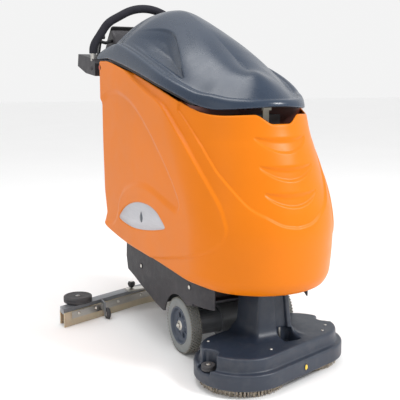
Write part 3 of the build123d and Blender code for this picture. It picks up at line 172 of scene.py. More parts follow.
def finish_piece(name, mesh, material, body, stands_for=(), smooth=True):
    """Clean the mesh, give it its material and put it on its body."""
    work = bmesh.new()
    work.from_mesh(mesh)
    bmesh.ops.remove_doubles(work, verts=work.verts, dist=2e-6)
    bmesh.ops.dissolve_degenerate(work, edges=work.edges, dist=1e-6)
    bmesh.ops.recalc_face_normals(work, faces=work.faces)
    for face in work.faces:
        face.smooth = smooth
    work.to_mesh(mesh)
    work.free()
    mesh.materials.append(material)
    made = bpy.data.objects.new(name, mesh)
    bpy.context.scene.collection.objects.link(made)
    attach(made, body)
    if stands_for:
        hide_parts(*stands_for)
    return made


def modifier(made, kind, **values):
    """Add a modifier with its values."""
    mod = made.modifiers.new(kind.title(), kind)
    for key, value in values.items():
        setattr(mod, key, value)
    return mod


def soften(made, width, angle=35, segments=3):
    """Round the sharp edges of a piece."""
    modifier(made, "BEVEL", width=width * MM, segments=segments, limit_method="ANGLE",
             angle_limit=math.radians(angle), harden_normals=True, miter_outer="MITER_ARC")


class Build:
    """Collects simple solids, in millimetres, into one mesh."""

    def __init__(self):
        self.points = []
        self.faces = []

    def add(self, points, faces):
        """Take in a mesh."""
        start = len(self.points)
        self.points.extend([tuple(p) for p in np.array(points, float).reshape(-1, 3)])
        self.faces.extend([tuple(start + i for i in f) for f in faces])
        return self

    def lathe(self, profile, centre, axis, steps=48, caps=True):
        """Turn an (along, radius) profile about an axis through the centre."""
        a = Vector(axis).normalized()
        u = a.orthogonal().normalized()
        if abs(a.z) < 0.5:
            u = (Vector((0, 0, 1)) - a * a.z).normalized()
        v = a.cross(u)
        c = Vector(centre)
        points = []
        for along, radius in profile:
            for k in range(steps):
                t = 2 * math.pi * k / steps
                points.append(c + a * along + (u * math.cos(t) + v * math.sin(t)) * radius)
        faces = grid_faces(len(profile), steps, True)
        faces += end_caps(len(profile), steps, caps and profile[0][1] > 0, caps and profile[-1][1] > 0)
        return self.add(points, faces)

    def tube(self, path, radius, steps=12):
        """Round bar along a list of points."""
        pts = [Vector(p) for p in path]
        n = len(pts)
        points = []
        side = None
        for i, p in enumerate(pts):
            d = (pts[min(i + 1, n - 1)] - pts[max(i - 1, 0)]).normalized()
            side = d.orthogonal().normalized() if side is None else (side - d * side.dot(d)).normalized()
            up = d.cross(side)
            r = radius[i] if isinstance(radius, (list, tuple)) else radius
            for k in range(steps):
                t = 2 * math.pi * k / steps
                points.append(p + (side * math.cos(t) + up * math.sin(t)) * r)
        return self.add(points, grid_faces(n, steps, True) + end_caps(n, steps))

    def prism(self, outline, low, high, inset=0.0):
        """A (y, z) outline extruded from x low to x high, with its ends chamfered by inset."""
        flat = np.array(outline, float)
        n = len(flat)
        rings = [(low, 0.0), (high, 0.0)]
        if inset:
            rings = [(low, inset), (low + inset, 0.0), (high - inset, 0.0), (high, inset)]
        points = []
        for level, shrink in rings:
            ring = shrunk(flat, shrink) if shrink else flat
            for a, b in ring:
                points.append((level, a, b))
        return self.add(points, grid_faces(len(rings), n, True) + end_caps(len(rings), n))

    def piece(self, name, material, body, stands_for=(), slot=None, smooth=True):
        """The collected mesh as a piece."""
        return piece(name, self.points, self.faces, material, body, stands_for, smooth)


def shrunk(flat, by):
    """A closed outline moved inwards along its corner bisectors."""
    n = len(flat)
    area = sum(flat[i - 1][0] * flat[i][1] - flat[i][0] * flat[i - 1][1] for i in range(n))
    turn = 1 if area > 0 else -1
    out = []
    for i in range(n):
        a = flat[i] - flat[i - 1]
        b = flat[(i + 1) % n] - flat[i]
        na = np.array((-a[1], a[0])) / max(np.hypot(*a), 1e-9)
        nb = np.array((-b[1], b[0])) / max(np.hypot(*b), 1e-9)
        mid = na + nb
        out.append(flat[i] + turn * by * mid / max(mid @ mid / 2, 0.3))
    return np.array(out)


def sculpt(field, low, high, cell):
    """Surface of a signed-distance field (negative inside), as points and quads."""
    counts = [int(math.ceil((high[i] - low[i]) / cell)) + 1 for i in range(3)]
    axes = [low[i] + cell * np.arange(counts[i]) for i in range(3)]
    x, y, z = np.meshgrid(*axes, indexing="ij")
    value = field(x, y, z)
    inner = value < 0
    total = np.zeros([c - 1 for c in counts] + [3])
    hits = np.zeros([c - 1 for c in counts])
    cell_at = np.stack(np.meshgrid(*[np.arange(c - 1) for c in counts], indexing="ij"), -1)
    corners = [(i, j, k) for i in (0, 1) for j in (0, 1) for k in (0, 1)]
    nx, ny, nz = [c - 1 for c in counts]
    for a in corners:
        for axis in range(3):
            if a[axis]:
                continue
            b = list(a)
            b[axis] = 1
            va = value[a[0]:a[0] + nx, a[1]:a[1] + ny, a[2]:a[2] + nz]
            vb = value[b[0]:b[0] + nx, b[1]:b[1] + ny, b[2]:b[2] + nz]
            cut = (va < 0) != (vb < 0)
            t = np.where(cut, va / np.where(cut, va - vb, 1), 0)
            point = np.zeros(cut.shape + (3,))
            point[...] = a
            point[..., axis] += t
            total += point * cut[..., None]
            hits += cut
    used = hits > 0
    index = np.full(hits.shape, -1)
    index[used] = np.arange(used.sum())
    points = np.array(low) + cell * (cell_at[used] + total[used] / hits[used][:, None])
    faces = []
    for axis in range(3):
        o1, o2 = [k for k in range(3) if k != axis]
        sl_a = [slice(1, c - 1) for c in counts]
        sl_a[axis] = slice(0, counts[axis] - 1)
        sl_b = list(sl_a)
        sl_b[axis] = slice(1, counts[axis])
        cross = inner[tuple(sl_a)] != inner[tuple(sl_b)]
        at = np.argwhere(cross)
        for k in (o1, o2):
            at[:, k] += 1
        d1, d2 = np.zeros(3, int), np.zeros(3, int)
        d1[o1], d2[o2] = 1, 1
        quad = [index[tuple((at - d).T)] for d in (d1 * 0, d1, d1 + d2, d2)]
        faces.extend(zip(*[q.tolist() for q in quad]))
    return points, faces


def union(a, b, r):
    """Smooth union of two distances with a fillet of about r."""
    h = np.clip(0.5 + 0.5 * (b - a) / r, 0, 1)
    return b + (a - b) * h - r * h * (1 - h)


def cut(a, b, r):
    """Shape a without shape b, with a rounded edge of about r."""
    return -union(-a, b, r)


def both(a, b, r):
    """The overlap of two shapes, with a rounded edge of about r."""
    return -union(-a, -b, r)


# -------------------------------------------------------------------------- materials

def material(name, colour, rough, metal=0.0, vary=0.06, vary_scale=6.0, grain=0.0, grain_scale=300.0,
             wear=0.0, wear_colour=(0.6, 0.6, 0.6), dust=0.0, coat=0.0, specular=0.5, light=0.0, streak=0.0):
    """Principled material with mottled colour, uneven roughness, fine grain and worn edges."""
    made = bpy.data.materials.new(name)
    made.use_nodes = True
    nodes, links = made.node_tree.nodes, made.node_tree.links
    shader = nodes["Principled BSDF"]
    shader.inputs["Metallic"].default_value = metal
    shader.inputs["Specular IOR Level"].default_value = specular
    shader.inputs["Coat Weight"].default_value = coat
    shader.inputs["Coat Roughness"].default_value = 0.12
    shader.inputs["Subsurface Weight"].default_value = light
    shader.inputs["Subsurface Radius"].default_value = (0.012, 0.008, 0.004)
    shader.inputs["Subsurface Scale"].default_value = 1.0
    place = nodes.new("ShaderNodeTexCoord")

    def noise(scale, detail=4.0, roughness=0.5, stretch=None):
        texture = nodes.new("ShaderNodeTexNoise")
        texture.inputs["Scale"].default_value = scale
        texture.inputs["Detail"].default_value = detail
        texture.inputs["Roughness"].default_value = roughness
        if stretch:
            mapping = nodes.new("ShaderNodeMapping")
            mapping.inputs["Scale"].default_value = stretch
            links.new(place.outputs["Object"], mapping.inputs["Vector"])
            links.new(mapping.outputs["Vector"], texture.inputs["Vector"])
        else:
            links.new(place.outputs["Object"], texture.inputs["Vector"])
        return texture.outputs["Fac"]

    def ramp(source, low, high, a, b):
        step = nodes.new("ShaderNodeMapRange")
        step.inputs["From Min"].default_value = low
        step.inputs["From Max"].default_value = high
        step.inputs["To Min"].default_value = a
        step.inputs["To Max"].default_value = b
        links.new(source, step.inputs["Value"])
        return step.outputs["Result"]

    def mix(factor, a, b):
        node = nodes.new("ShaderNodeMix")
        node.data_type = "RGBA"
        if isinstance(factor, float):
            node.inputs["Factor"].default_value = factor
        else:
            links.new(factor, node.inputs["Factor"])
        for key, value in (("A", a), ("B", b)):
            socket = [s for s in node.inputs if s.name == key and s.type == "RGBA"][0]
            if isinstance(value, tuple):
                socket.default_value = (*value, 1.0)
            else:
                links.new(value, socket)
        return [s for s in node.outputs if s.type == "RGBA"][0]

    broad = noise(vary_scale, 5.0, 0.6, (1.0, 1.0, 1.0 if not streak else streak))
    dark = tuple(c * (1 - vary) for c in colour)
    pale = tuple(min(c * (1 + vary), 1.0) for c in colour)
    tint = mix(ramp(broad, 0.3, 0.7, 0.0, 1.0), dark, pale)
    fine = noise(grain_scale, 3.0, 0.6)
    tint = mix(ramp(fine, 0.35, 0.65, 0.0, 0.35), tint, dark)
    if dust:
        tint = mix(ramp(noise(vary_scale * 3, 6.0, 0.7), 0.5, 0.75, 0.0, dust), tint, (0.5, 0.47, 0.42))
    if wear:
        edge = nodes.new("ShaderNodeNewGeometry").outputs["Pointiness"]
        tint = mix(ramp(edge, 0.52, 0.6, 0.0, wear), tint, wear_colour)
    links.new(tint, shader.inputs["Base Color"])
    patchy = noise(vary_scale * 4, 6.0, 0.65)
    links.new(ramp(patchy, 0.25, 0.75, max(rough - 0.07, 0.03), min(rough + 0.07, 1.0)),
              shader.inputs["Roughness"])
    if grain:
        bump = nodes.new("ShaderNodeBump")
        bump.inputs["Strength"].default_value = min(grain, 1.0)
        bump.inputs["Distance"].default_value = 0.0006
        links.new(fine, bump.inputs["Height"])
        links.new(bump.outputs["Normal"], shader.inputs["Normal"])
    return made


ORANGE = material("tank_orange", (0.70, 0.175, 0.001), 0.36, vary=0.05, vary_scale=3.0, grain=0.10,
                  grain_scale=420, wear=0.12, wear_colour=(0.95, 0.42, 0.06), specular=0.2)
LID = material("lid_blue_grey", (0.012, 0.026, 0.052), 0.28, vary=0.10, vary_scale=4.0, grain=0.04,
               grain_scale=500, wear=0.25, wear_colour=(0.08, 0.12, 0.18), specular=0.5)
CHARCOAL = material("chassis_charcoal", (0.022, 0.020, 0.025), 0.55, vary=0.14, vary_scale=7.0, grain=0.45,
                    grain_scale=900, wear=0.3, wear_colour=(0.14, 0.14, 0.15), dust=0.05)
DECK = material("deck_blue_grey", (0.020, 0.028, 0.046), 0.42, vary=0.12, vary_scale=6.0, grain=0.35,
                grain_scale=800, wear=0.35, wear_colour=(0.12, 0.14, 0.18), dust=0.05)
BLACK = material("black_plastic", (0.018, 0.018, 0.020), 0.42, vary=0.2, grain=0.3, grain_scale=900,
                 wear=0.3, wear_colour=(0.1, 0.1, 0.1))
FOAM = material("grip_foam", (0.020, 0.020, 0.027), 0.86, vary=0.25, vary_scale=30, grain=1.0,
                grain_scale=1300, specular=0.25)
# Recovery tub: its orange plastic is given a dark red-brown colour, painted shade for the shadowed inside
# seen through the scoop and the lid gap
TUB_PAINTED_SHADE = material("tub_painted_shade", (0.085, 0.016, 0.008), 0.5, vary=0.25, vary_scale=9, grain=0.25, grain_scale=400)
TYRE = material("tyre_grey", (0.215, 0.225, 0.222), 0.82, vary=0.10, vary_scale=18, grain=0.7,
                grain_scale=900, dust=0.12, wear=0.25, wear_colour=(0.36, 0.36, 0.34))
TREAD = material("tread_grey", (0.150, 0.147, 0.130), 0.9, vary=0.22, vary_scale=24, grain=0.9,
                 grain_scale=900, dust=0.2, wear=0.35, wear_colour=(0.33, 0.31, 0.27))
RIM = material("rim_blue_grey", (0.060, 0.075, 0.105), 0.40, vary=0.1, vary_scale=12, grain=0.2,
               grain_scale=700, wear=0.3, wear_colour=(0.25, 0.27, 0.3), dust=0.06)
ZINC = material("zinc_plate", (0.60, 0.58, 0.53), 0.34, metal=0.9, vary=0.14, vary_scale=30, grain=0.35,
                grain_scale=700, wear=0.3, wear_colour=(0.8, 0.78, 0.74))
STEEL = material("brushed_steel", (0.47, 0.45, 0.42), 0.32, metal=1.0, vary=0.14, vary_scale=14, grain=0.5,
                 grain_scale=900, wear=0.2, wear_colour=(0.7, 0.7, 0.7), streak=14.0)
CAST = material("cast_alloy", (0.24, 0.25, 0.27), 0.5, metal=0.75, vary=0.16, vary_scale=22, grain=0.8,
                grain_scale=520, wear=0.35, wear_colour=(0.5, 0.5, 0.5))
GUM = material("gum_rubber", (0.56, 0.475, 0.345), 0.42, vary=0.12, vary_scale=12, grain=0.15,
               grain_scale=400, light=0.35, specular=0.4)
BRISTLE = material("bristle_nylon", (0.50, 0.42, 0.34), 0.6, vary=0.22, vary_scale=60, grain=0.3,
                   grain_scale=900, light=0.2)
ROLLER = material("roller_rubber", (0.045, 0.043, 0.047), 0.72, vary=0.18, vary_scale=30, grain=0.7,
                  grain_scale=900, dust=0.08, wear=0.3, wear_colour=(0.15, 0.15, 0.15))
PIN = material("pin_orange_red", (0.52, 0.055, 0.006), 0.4, vary=0.1, vary_scale=40, grain=0.2,
               grain_scale=500)
STOP = material("stop_red", (0.55, 0.012, 0.012), 0.26, vary=0.08, vary_scale=30, grain=0.08,
                grain_scale=500, coat=0.3)
BUTTON = material("button_grey", (0.26, 0.28, 0.31), 0.35, vary=0.08, vary_scale=40, grain=0.15,
                  grain_scale=600)
SCREEN = material("screen_glass", (0.012, 0.020, 0.024), 0.08, vary=0.2, vary_scale=20, coat=0.6)
AMBER = material("reflector_amber", (0.86, 0.56, 0.035), 0.16, vary=0.12, vary_scale=90, grain=0.8,
                 grain_scale=500, coat=0.6)
BATTERY = material("battery_case", (0.055, 0.057, 0.062), 0.5, vary=0.12, vary_scale=8, grain=0.3,
                   grain_scale=600, dust=0.06)
IVORY = material("ivory_plastic", (0.56, 0.53, 0.44), 0.4, vary=0.12, vary_scale=18, grain=0.15,
                 grain_scale=500, light=0.1)
SEAL = material("seal_rubber", (0.016, 0.016, 0.017), 0.8, vary=0.2, vary_scale=20, grain=0.4,
                grain_scale=700)
PLATE = material("badge_silver", (0.50, 0.50, 0.53), 0.34, metal=0.35, vary=0.07, vary_scale=16, grain=0.25,
                 grain_scale=1100, streak=8.0)
BADGE_DROP = material("badge_drop", (0.07, 0.08, 0.10), 0.4, vary=0.1, vary_scale=30, grain=0.1,
                      grain_scale=500)

NODE_MATERIALS = {
    ORANGE: ["solution_tank"],
    LID: ["lid_shell"],
    CHARCOAL: ["chassis_tray", "console_housing"],
    DECK: ["deck_cover", "presence_lever"],
    BLACK: ["fill_strainer", "vac_housing", "control_panel", "dosing_knob", "squeegee_lever",
            "brush_block_right", "brush_block_left", "clamp_knob_right", "clamp_knob_left"],
    FOAM: ["handle_grip"],
    TUB_PAINTED_SHADE: ["recovery_tub"],
    TYRE: ["castor_tyre", "tyre_right", "tyre_left"],
    RIM: ["rim_right", "rim_left", "castor_hub"],
    ZINC: ["chassis_screws", "castor_plate", "castor_fork", "deck_fasteners", "squeegee_bracket",
           "key_switch"],
    STEEL: ["handle_tube", "deck_frame", "deck_lower_arm", "deck_upper_link", "squeegee_arm",
            "squeegee_strips"],
    CAST: ["transaxle", "vac_impeller", "brush_motors", "squeegee_beam"],
    GUM: ["squeegee_blades"],
    BRISTLE: ["bristles_right", "bristles_left"],
    ROLLER: ["wall_roller_right", "wall_roller_left", "end_roller_right", "end_roller_left",
             "trolley_wheel_right", "trolley_wheel_left"],
    PIN: ["lid_hinge_pins"],
    STOP: ["emergency_stop"],
    BUTTON: ["brush_button", "suction_button"],
    SCREEN: ["display_screen"],
    AMBER: ["deck_reflector"],
    BATTERY: ["battery_right", "battery_left"],
    IVORY: ["float_cage", "float_ball", "level_strap"],
    SEAL: ["lid_seal"],
}


def dress_nodes():
    """Give every CAD node its procedural material."""
    for made, names in NODE_MATERIALS.items():
        for name in names:
            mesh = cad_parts[name].data
            mesh.materials.clear()
            mesh.materials.append(made)


# ------------------------------------------------------------------------------- stage

CAMERA_SPOT = (-1259.2, -2136.7, 940.1)
CAMERA_YAW = 27.4
CAMERA_PITCH = 9.3
CAMERA_LENS = 65.42
WORLD_LIGHT = 0.90


def camera():
    """Camera at the viewing place."""
    data = bpy.data.cameras.new("camera")
    data.lens = CAMERA_LENS
    data.sensor_width = 36.0
    data.clip_end = 60
    made = bpy.data.objects.new("camera", data)
    made.location = row([CAMERA_SPOT])[0]
    made.rotation_euler = (math.radians(90 - CAMERA_PITCH), 0, math.radians(-CAMERA_YAW))
    bpy.context.scene.collection.objects.link(made)
    bpy.context.scene.camera = made


def area_light(name, spot, target, size, power, tint=(1, 1, 1)):
    """Soft square light that points at the target; spots in metres."""
    data = bpy.data.lights.new(name, "AREA")
    data.shape = "RECTANGLE"
    data.size, data.size_y = size
    data.energy = power
    data.color = tint
    made = bpy.data.objects.new(name, data)
    made.location = spot
    made.rotation_euler = (Vector(target) - Vector(spot)).to_track_quat("-Z", "Y").to_euler()
    bpy.context.scene.collection.objects.link(made)


def studio():
    """Pale floor, pale surroundings and soft lights."""
    world = bpy.data.worlds.new("studio")
    world.use_nodes = True
    world.node_tree.nodes["Background"].inputs["Color"].default_value = (1.0, 1.0, 1.0, 1.0)
    world.node_tree.nodes["Background"].inputs["Strength"].default_value = WORLD_LIGHT
    bpy.context.scene.world = world
    bpy.context.scene.view_settings.view_transform = "Standard"
    area_light("key", (2.2, -3.4, 3.6), (0.0, -0.2, 0.6), (1.4, 1.4), 150)
    area_light("top", (-0.6, 0.2, 3.8), (0.0, -0.1, 0.8), (2.4, 1.4), 45)
    area_light("left", (-4.0, -1.2, 1.8), (0.0, 0.1, 0.5), (1.6, 2.4), 8)
    mesh = bpy.data.meshes.new("floor")
    reach = 30.0
    mesh.from_pydata([(-reach, -reach, 0), (reach, -reach, 0), (reach, reach, 0), (-reach, reach, 0)],
                     [], [(0, 1, 2, 3)])
    mesh.materials.append(material("floor_pale", (0.96, 0.96, 0.96), 0.8, vary=0.01, vary_scale=1.0))
    floor = bpy.data.objects.new("floor", mesh)
    bpy.context.scene.collection.objects.link(floor)


# -------------------------------------------------------------------------------- tank

TANK_HALF = 255.0
TANK_REAR = [(345, 686), (366, 690), (411, 662), (500, 684), (700, 694), (1040, 695)]
TANK_CORNER = 24.0
TANK_FRONT = curve([(270, -346), (300, -354), (400, -367), (500, -368), (640, -337), (725, -310),
              (806, -278), (1040, -220)])
TANK_NOSE = curve([(240, 262), (500, 262), (725, 330), (1040, 400)])
TANK_LOW = curve([(-400, 283), (-234, 289), (-95, 302), (187, 317), (417, 326), (591, 345), (690, 364)])
TANK_TOP = curve([(-400, 838), (-262, 838), (-173, 834), (-108, 841), (-51, 857), (88, 902), (350, 966),
            (555, 1010), (640, 1018), (760, 1018)])
REAR_TOP = 955.0
EAR_HALF = 244.0
PIN_Y, PIN_Z = 673.0, 993.0
EAR_R = 26.0
SCOOP_HALF = 92.0
SCOOP_DEPTH = 29.0
LEAF = [(208, 902), (92, 862), (-14, 784), (-100, 710), (-184, 626), (-234, 567), (-259, 519),
        (-266, 487), (-250, 449), (-205, 418), (-118, 388), (29, 352), (184, 322)]
LEAF_OUT = [(260, 250), (900, 250), (900, 1150), (470, 1150), (470, 1006), (330, 946)]
NECK_DROP = [(240, 4), (540, 4), (640, 9), (760, 14), (1040, 15)]
WAIST = curve([(0, 499), (52, 507), (100, 532), (150, 566), (196, 640), (216, 698), (250, 860)])
WAIST_STEP = 6.0
RIPPLES = [(768, 41, 104), (683, 39, 104), (604, 38, 100)]
RIPPLE_DEPTH = 8.0
HOLLOW = [(760, 842), (676, 868), (592, 898), (485, 904), (346, 865), (219, 791), (102, 702), (14, 626),
          (-38, 568), (-51, 538), (-27, 516), (38, 524), (129, 545), (226, 561), (331, 558), (430, 524),
          (484, 478), (508, 419), (560, 372), (660, 356), (760, 360)]
HOLLOW_DEPTH = 8.0
EYE = [(487, 411), (455, 450), (394, 482), (310, 504), (218, 509), (145, 498), (98, 476), (62, 446),
       (123, 427), (247, 405), (369, 396)]
EYE_DEPTH = 3.0


TANK_COLUMNS = (40, 14, 190, 170)
TANK_ROWS = 210
TANK_WALL = 5.5
SIDE_FROM = 150.0
CHIN_IN, CHIN_H = 15.0, 46.0
FOOT_IN, LIP_IN, EDGE_H = 4.0, 3.5, 6.0


def half_outline(half, front, nose, rear, corner, counts):
    """Plan points from the rear centre round the +X side to the front centre, with their normals."""
    points, normals = [], []
    rear_n, corner_n, side_n, nose_n = counts
    for x in np.linspace(0, half - corner, rear_n, endpoint=False):
        points.append((x, rear))
        normals.append((0, 1))
    for t in np.linspace(math.pi / 2, 0, corner_n, endpoint=False):
        points.append((half - corner + corner * math.cos(t), rear - corner + corner * math.sin(t)))
        normals.append((math.cos(t), math.sin(t)))
    for y in np.linspace(rear - corner, front + nose, side_n, endpoint=False):
        points.append((half, y))
        normals.append((1, 0))
    for t in np.linspace(0, math.pi / 2, nose_n):
        c, s = math.cos(t), math.sin(t)
        points.append((half * c, front + nose - nose * s))
        n = np.array((c / half, -s / nose))
        normals.append(tuple(n / np.hypot(*n)))
    return np.array(points), np.array(normals)


def tank_top(x, y):
    """Height of the tank's upper edge."""
    top = float(blend(TANK_TOP, y))
    if y < -150:
        top -= SCOOP_DEPTH * float(1 - ease(0.35, 1.0, x / SCOOP_HALF))
    if y > PIN_Y:
        top = min(top, PIN_Z + math.sqrt(max(EAR_R ** 2 - (y - PIN_Y) ** 2, 0)))
    if y > 600 and x < EAR_HALF:
        top = REAR_TOP
    return top


def tank_relief(x, y, z):
    """How far the moulded surface lies inside the plain outline."""
    leaf = np.array(rounded(LEAF, 8).tolist() + LEAF_OUT)
    panel = ease(-7, 5, inside(y, z, leaf))
    inset = (1 - panel) * blend(NECK_DROP, z)
    waist = z - blend(WAIST, x)
    inset += WAIST_STEP * ease(-3, 7, waist) * (1 - panel) * (y < 0)
    for top, drop, half in RIPPLES:
        u = np.clip(x / half, 0, 1)
        low = top - drop * (1 - u ** 2) ** 0.85
        depth = RIPPLE_DEPTH * np.sqrt(np.clip(1 - u ** 2, 0, 1)) * (y < 0)
        t = (top + 4 - z) / np.maximum(top + 4 - low, 1e-3)
        inset += depth * ease(0, 0.55, t) * (1 - ease(0, 8, low - z))
    hollow = inside(y, z, rounded(HOLLOW, 5, True))
    inset += HOLLOW_DEPTH * ease(-6, 20, hollow) * (x > SIDE_FROM)
    eye = inside(y, z, rounded(EYE, 6, True))
    inset += EYE_DEPTH * ease(-1, 3, eye) * (x > SIDE_FROM)
    return inset


def solution_tank():
    """Moulded tank: raised side panels, waist line, rippled nose, filling scoop and rear lip."""
    columns = sum(TANK_COLUMNS)
    levels = np.linspace(262, 1040, 120)
    rings = [half_outline(TANK_HALF, blend(TANK_FRONT, z), blend(TANK_NOSE, z), blend(TANK_REAR, z),
                          TANK_CORNER, TANK_COLUMNS) for z in levels]
    ring_points = np.array([r[0] for r in rings])
    ring_normals = np.array([r[1] for r in rings])
    grid = np.zeros((TANK_ROWS, columns, 3))
    turned = np.zeros((TANK_ROWS, columns, 2))
    share = np.linspace(0, 1, TANK_ROWS)

    def plan(c, z):
        """Plan point of one column at height z."""
        return tuple(np.interp(z, levels, ring_points[:, c, axis]) for axis in range(2))

    for c in range(columns):
        low = blend(TANK_LOW, plan(c, 300.0)[1])
        low = blend(TANK_LOW, plan(c, low)[1])
        top = tank_top(*plan(c, 850.0))
        for _ in range(3):
            top = tank_top(*plan(c, top))
        z = low + (top - low) * share
        grid[:, c, 0], grid[:, c, 1] = plan(c, z)
        grid[:, c, 2] = z
        for axis in range(2):
            turned[:, c, axis] = np.interp(z, levels, ring_normals[:, c, axis])
    x, y, z = grid[..., 0], grid[..., 1], grid[..., 2]
    inset = tank_relief(x, y, z)
    inset += CHIN_IN * (1 - np.clip((z - z[0]) / CHIN_H, 0, 1)) ** 2 * ease(-60, -200, y)
    inset += FOOT_IN * (1 - np.clip((z - z[0]) / EDGE_H, 0, 1)) ** 2
    inset += LIP_IN * (1 - np.clip((z[-1] - z) / EDGE_H, 0, 1)) ** 2
    grid[..., 0] -= turned[..., 0] * inset
    grid[..., 1] -= turned[..., 1] * inset
    whole = mirrored(grid)
    made = piece("tank_shell", whole.reshape(-1, 3), grid_faces(TANK_ROWS, whole.shape[1], True), ORANGE,
                 "chassis", ["solution_tank"])
    modifier(made, "SOLIDIFY", thickness=TANK_WALL * MM, offset=-1.0)


# --------------------------------------------------------------------------------- lid

LID_HALF = 254.0
LID_FRONT = -246.0
LID_NOSE = 430.0
LID_REAR = 742.0
LID_CORNER = 46.0
LID_LOW = curve([(-246, 862), (-222, 857), (-171, 852), (-125, 852), (-68, 865), (11, 895), (125, 929),
           (324, 975), (559, 1020), (640, 1026), (760, 1026)])
LID_RIM = curve([(-246, 884), (-222, 884), (-171, 888), (-125, 897), (-68, 906), (11, 932), (125, 968),
           (324, 1030), (500, 1076), (559, 1080), (640, 1070), (745, 1046)])
LID_CROWN = curve([(-110, 972), (-70, 974), (-40, 980), (0, 998), (60, 1032), (180, 1100), (300, 1156),
                   (400, 1196), (460, 1209), (520, 1210), (600, 1204)])
SPINE = (-70.0, 560.0)
RIM_PROFILE = [(6, 0.0), (1, 0.05), (0, 0.16), (1.5, 0.4), (4, 0.62), (8, 0.82), (12, 0.93), (17, 0.985),
               (21, 1.0), (24, 0.985), (26, 0.95), (28, 0.935), (30, 0.95), (32, 0.99), (35, 1.01),
               (39, 1.015)]
DOME_IN = 40.0
DOME_POWER = 2.0
DOME_FALL = 1.1
HOLD = [(560, 196), (420, 140), (300, 110), (190, 138), (110, 168), (52, 190), (150, 202), (330, 206)]
HOLD_DEPTH = 42.0
LID_WALL = 4.5
DOME_ROWS = 90
SIDE_CORD_R, FRONT_CORD_R = 9.0, 4.0
DROP_MIDDLE, DROP_HALF, DROP_R = (268, 452), 13, 20


def lid_ring(inset):
    """Half plan outline of the lid, moved inwards."""
    return half_outline(LID_HALF - inset, LID_FRONT + inset, LID_NOSE - inset * 0.9, LID_REAR - inset,
                        max(LID_CORNER - inset * 0.4, 8), (30, 16, 150, 130))


def lid_shell():
    """Domed lid with a beaded rim and a hand hold on each side."""
    outer, _ = lid_ring(0)
    low = blend(LID_LOW, outer[:, 1])
    rim = blend(LID_RIM, outer[:, 1])
    rows = []
    for inset, share in RIM_PROFILE:
        ring, _ = lid_ring(inset)
        rows.append(np.column_stack([ring, low + (rim - low) * share]))
    base, _ = lid_ring(DOME_IN)
    foot = rows[-1][:, 2]
    along = (base[:, 1] - base[:, 1].min()) / (base[:, 1].max() - base[:, 1].min())
    spine_y = SPINE[0] + (SPINE[1] - SPINE[0]) * along
    crown = blend(LID_CROWN, spine_y)
    for s in np.linspace(1, 0, DOME_ROWS):
        x = base[:, 0] * s
        y = spine_y + (base[:, 1] - spine_y) * s
        z = foot + (crown - foot) * (1 - s ** DOME_POWER) ** DOME_FALL
        rows.append(np.column_stack([x, y, z]))
    grid = np.array(rows)
    x, y = grid[..., 0], grid[..., 1]
    hold = inside(y, x, rounded(HOLD, 6, True))
    depth = HOLD_DEPTH * (1 - ease(90, 520, y)) * ease(-2, 7, hold) * (0.45 + 0.55 * ease(0, 40, hold))
    grid[..., 2] -= depth * 0.75
    grid[..., 0] = np.maximum(x - depth * 0.55, 0)
    whole = mirrored(grid)
    made = piece("lid_dome", whole.reshape(-1, 3), grid_faces(len(rows), whole.shape[1], True), LID, "lid",
                 ["lid_shell"])
    modifier(made, "SOLIDIFY", thickness=LID_WALL * MM, offset=-1.0)


def lid_seal():
    """Round rubber seal under the lid's edge."""
    ring, _ = lid_ring(12)
    cord = Build()
    for side in (-1, 1):
        path = [(side * x, y, float(blend(LID_LOW, y)) - 1) for x, y in ring if -60 < y < 560]
        cord.tube(path, SIDE_CORD_R)
    path = [(x, y, float(blend(LID_LOW, y)) + 5) for x, y in ring if y < -58]
    path += [(-x, y, z) for x, y, z in reversed(path[:-1])]
    cord.tube(path, FRONT_CORD_R)
    cord.piece("lid_seal_cord", SEAL, "lid", ["lid_seal"], "seal_rubber")


def badge():
    """Plain silver plate in the eye-shaped recess of each side, with a small drop."""
    eye = shrunk(rounded(EYE, 6, True)[::-1], 3)
    plates, drops = Build(), Build()
    y, z = DROP_MIDDLE
    drop = [(y + DROP_HALF * math.sin(t) * (1 - 0.55 * max(math.cos(t), 0)), z + DROP_R * math.cos(t))
            for t in np.linspace(0, 2 * math.pi, 40, endpoint=False)]
    for side in (-1, 1):
        plates.prism(eye, *span(side, TANK_HALF - 6, TANK_HALF - 1.6), 0.8)
        drops.prism(drop, *span(side, TANK_HALF - 2, TANK_HALF - 1.1), 0.3)
    plates.piece("side_badges", PLATE, "chassis", slot="reflector")
    drops.piece("side_badge_drops", BADGE_DROP, "chassis", slot="black_plastic")


# ----------------------------------------------------------------------------- chassis

TRAY_HALF = 212.0
TRAY_SIDE = [(-60, 298), (187, 312), (417, 322), (520, 328), (526, 250), (512, 198),
             (446, 183), (374, 163), (300, 146), (240, 130), (176, 120), (160, 124)]
ARCH_R = 113.0
TRAY_FRONT = [(-40, 199), (-60, 200)]
CHEEK_DEPTH = 200.0
CHEEK_FRONT = -160.0
TRAY_SCREWS = [(-40, 262), (371, 241)]
TRAY_WALL, TRAY_INNER = 6.0, TRAY_HALF - 5
TRAY_FLOOR = [(524, 200), (446, 190), (374, 170), (262, 146), (190, 150)]
TRAY_CROSS = [(516, 524, 204, 328), (-100, 190, 215, 221), (184, 190, 146, 218), (-66, -60, 200, 300)]
ARCH_STEPS = 15
SCREW_SEAT = [(0, 11), (1.6, 11), (2.6, 9.6), (2.6, 8.2), (0.8, 7.6)]
SCREW_HEAD = [(0.4, 7.2), (2.2, 7.2), (3.2, 5.6), (3.4, 3.2), (1.4, 2.8), (1.4, 0)]


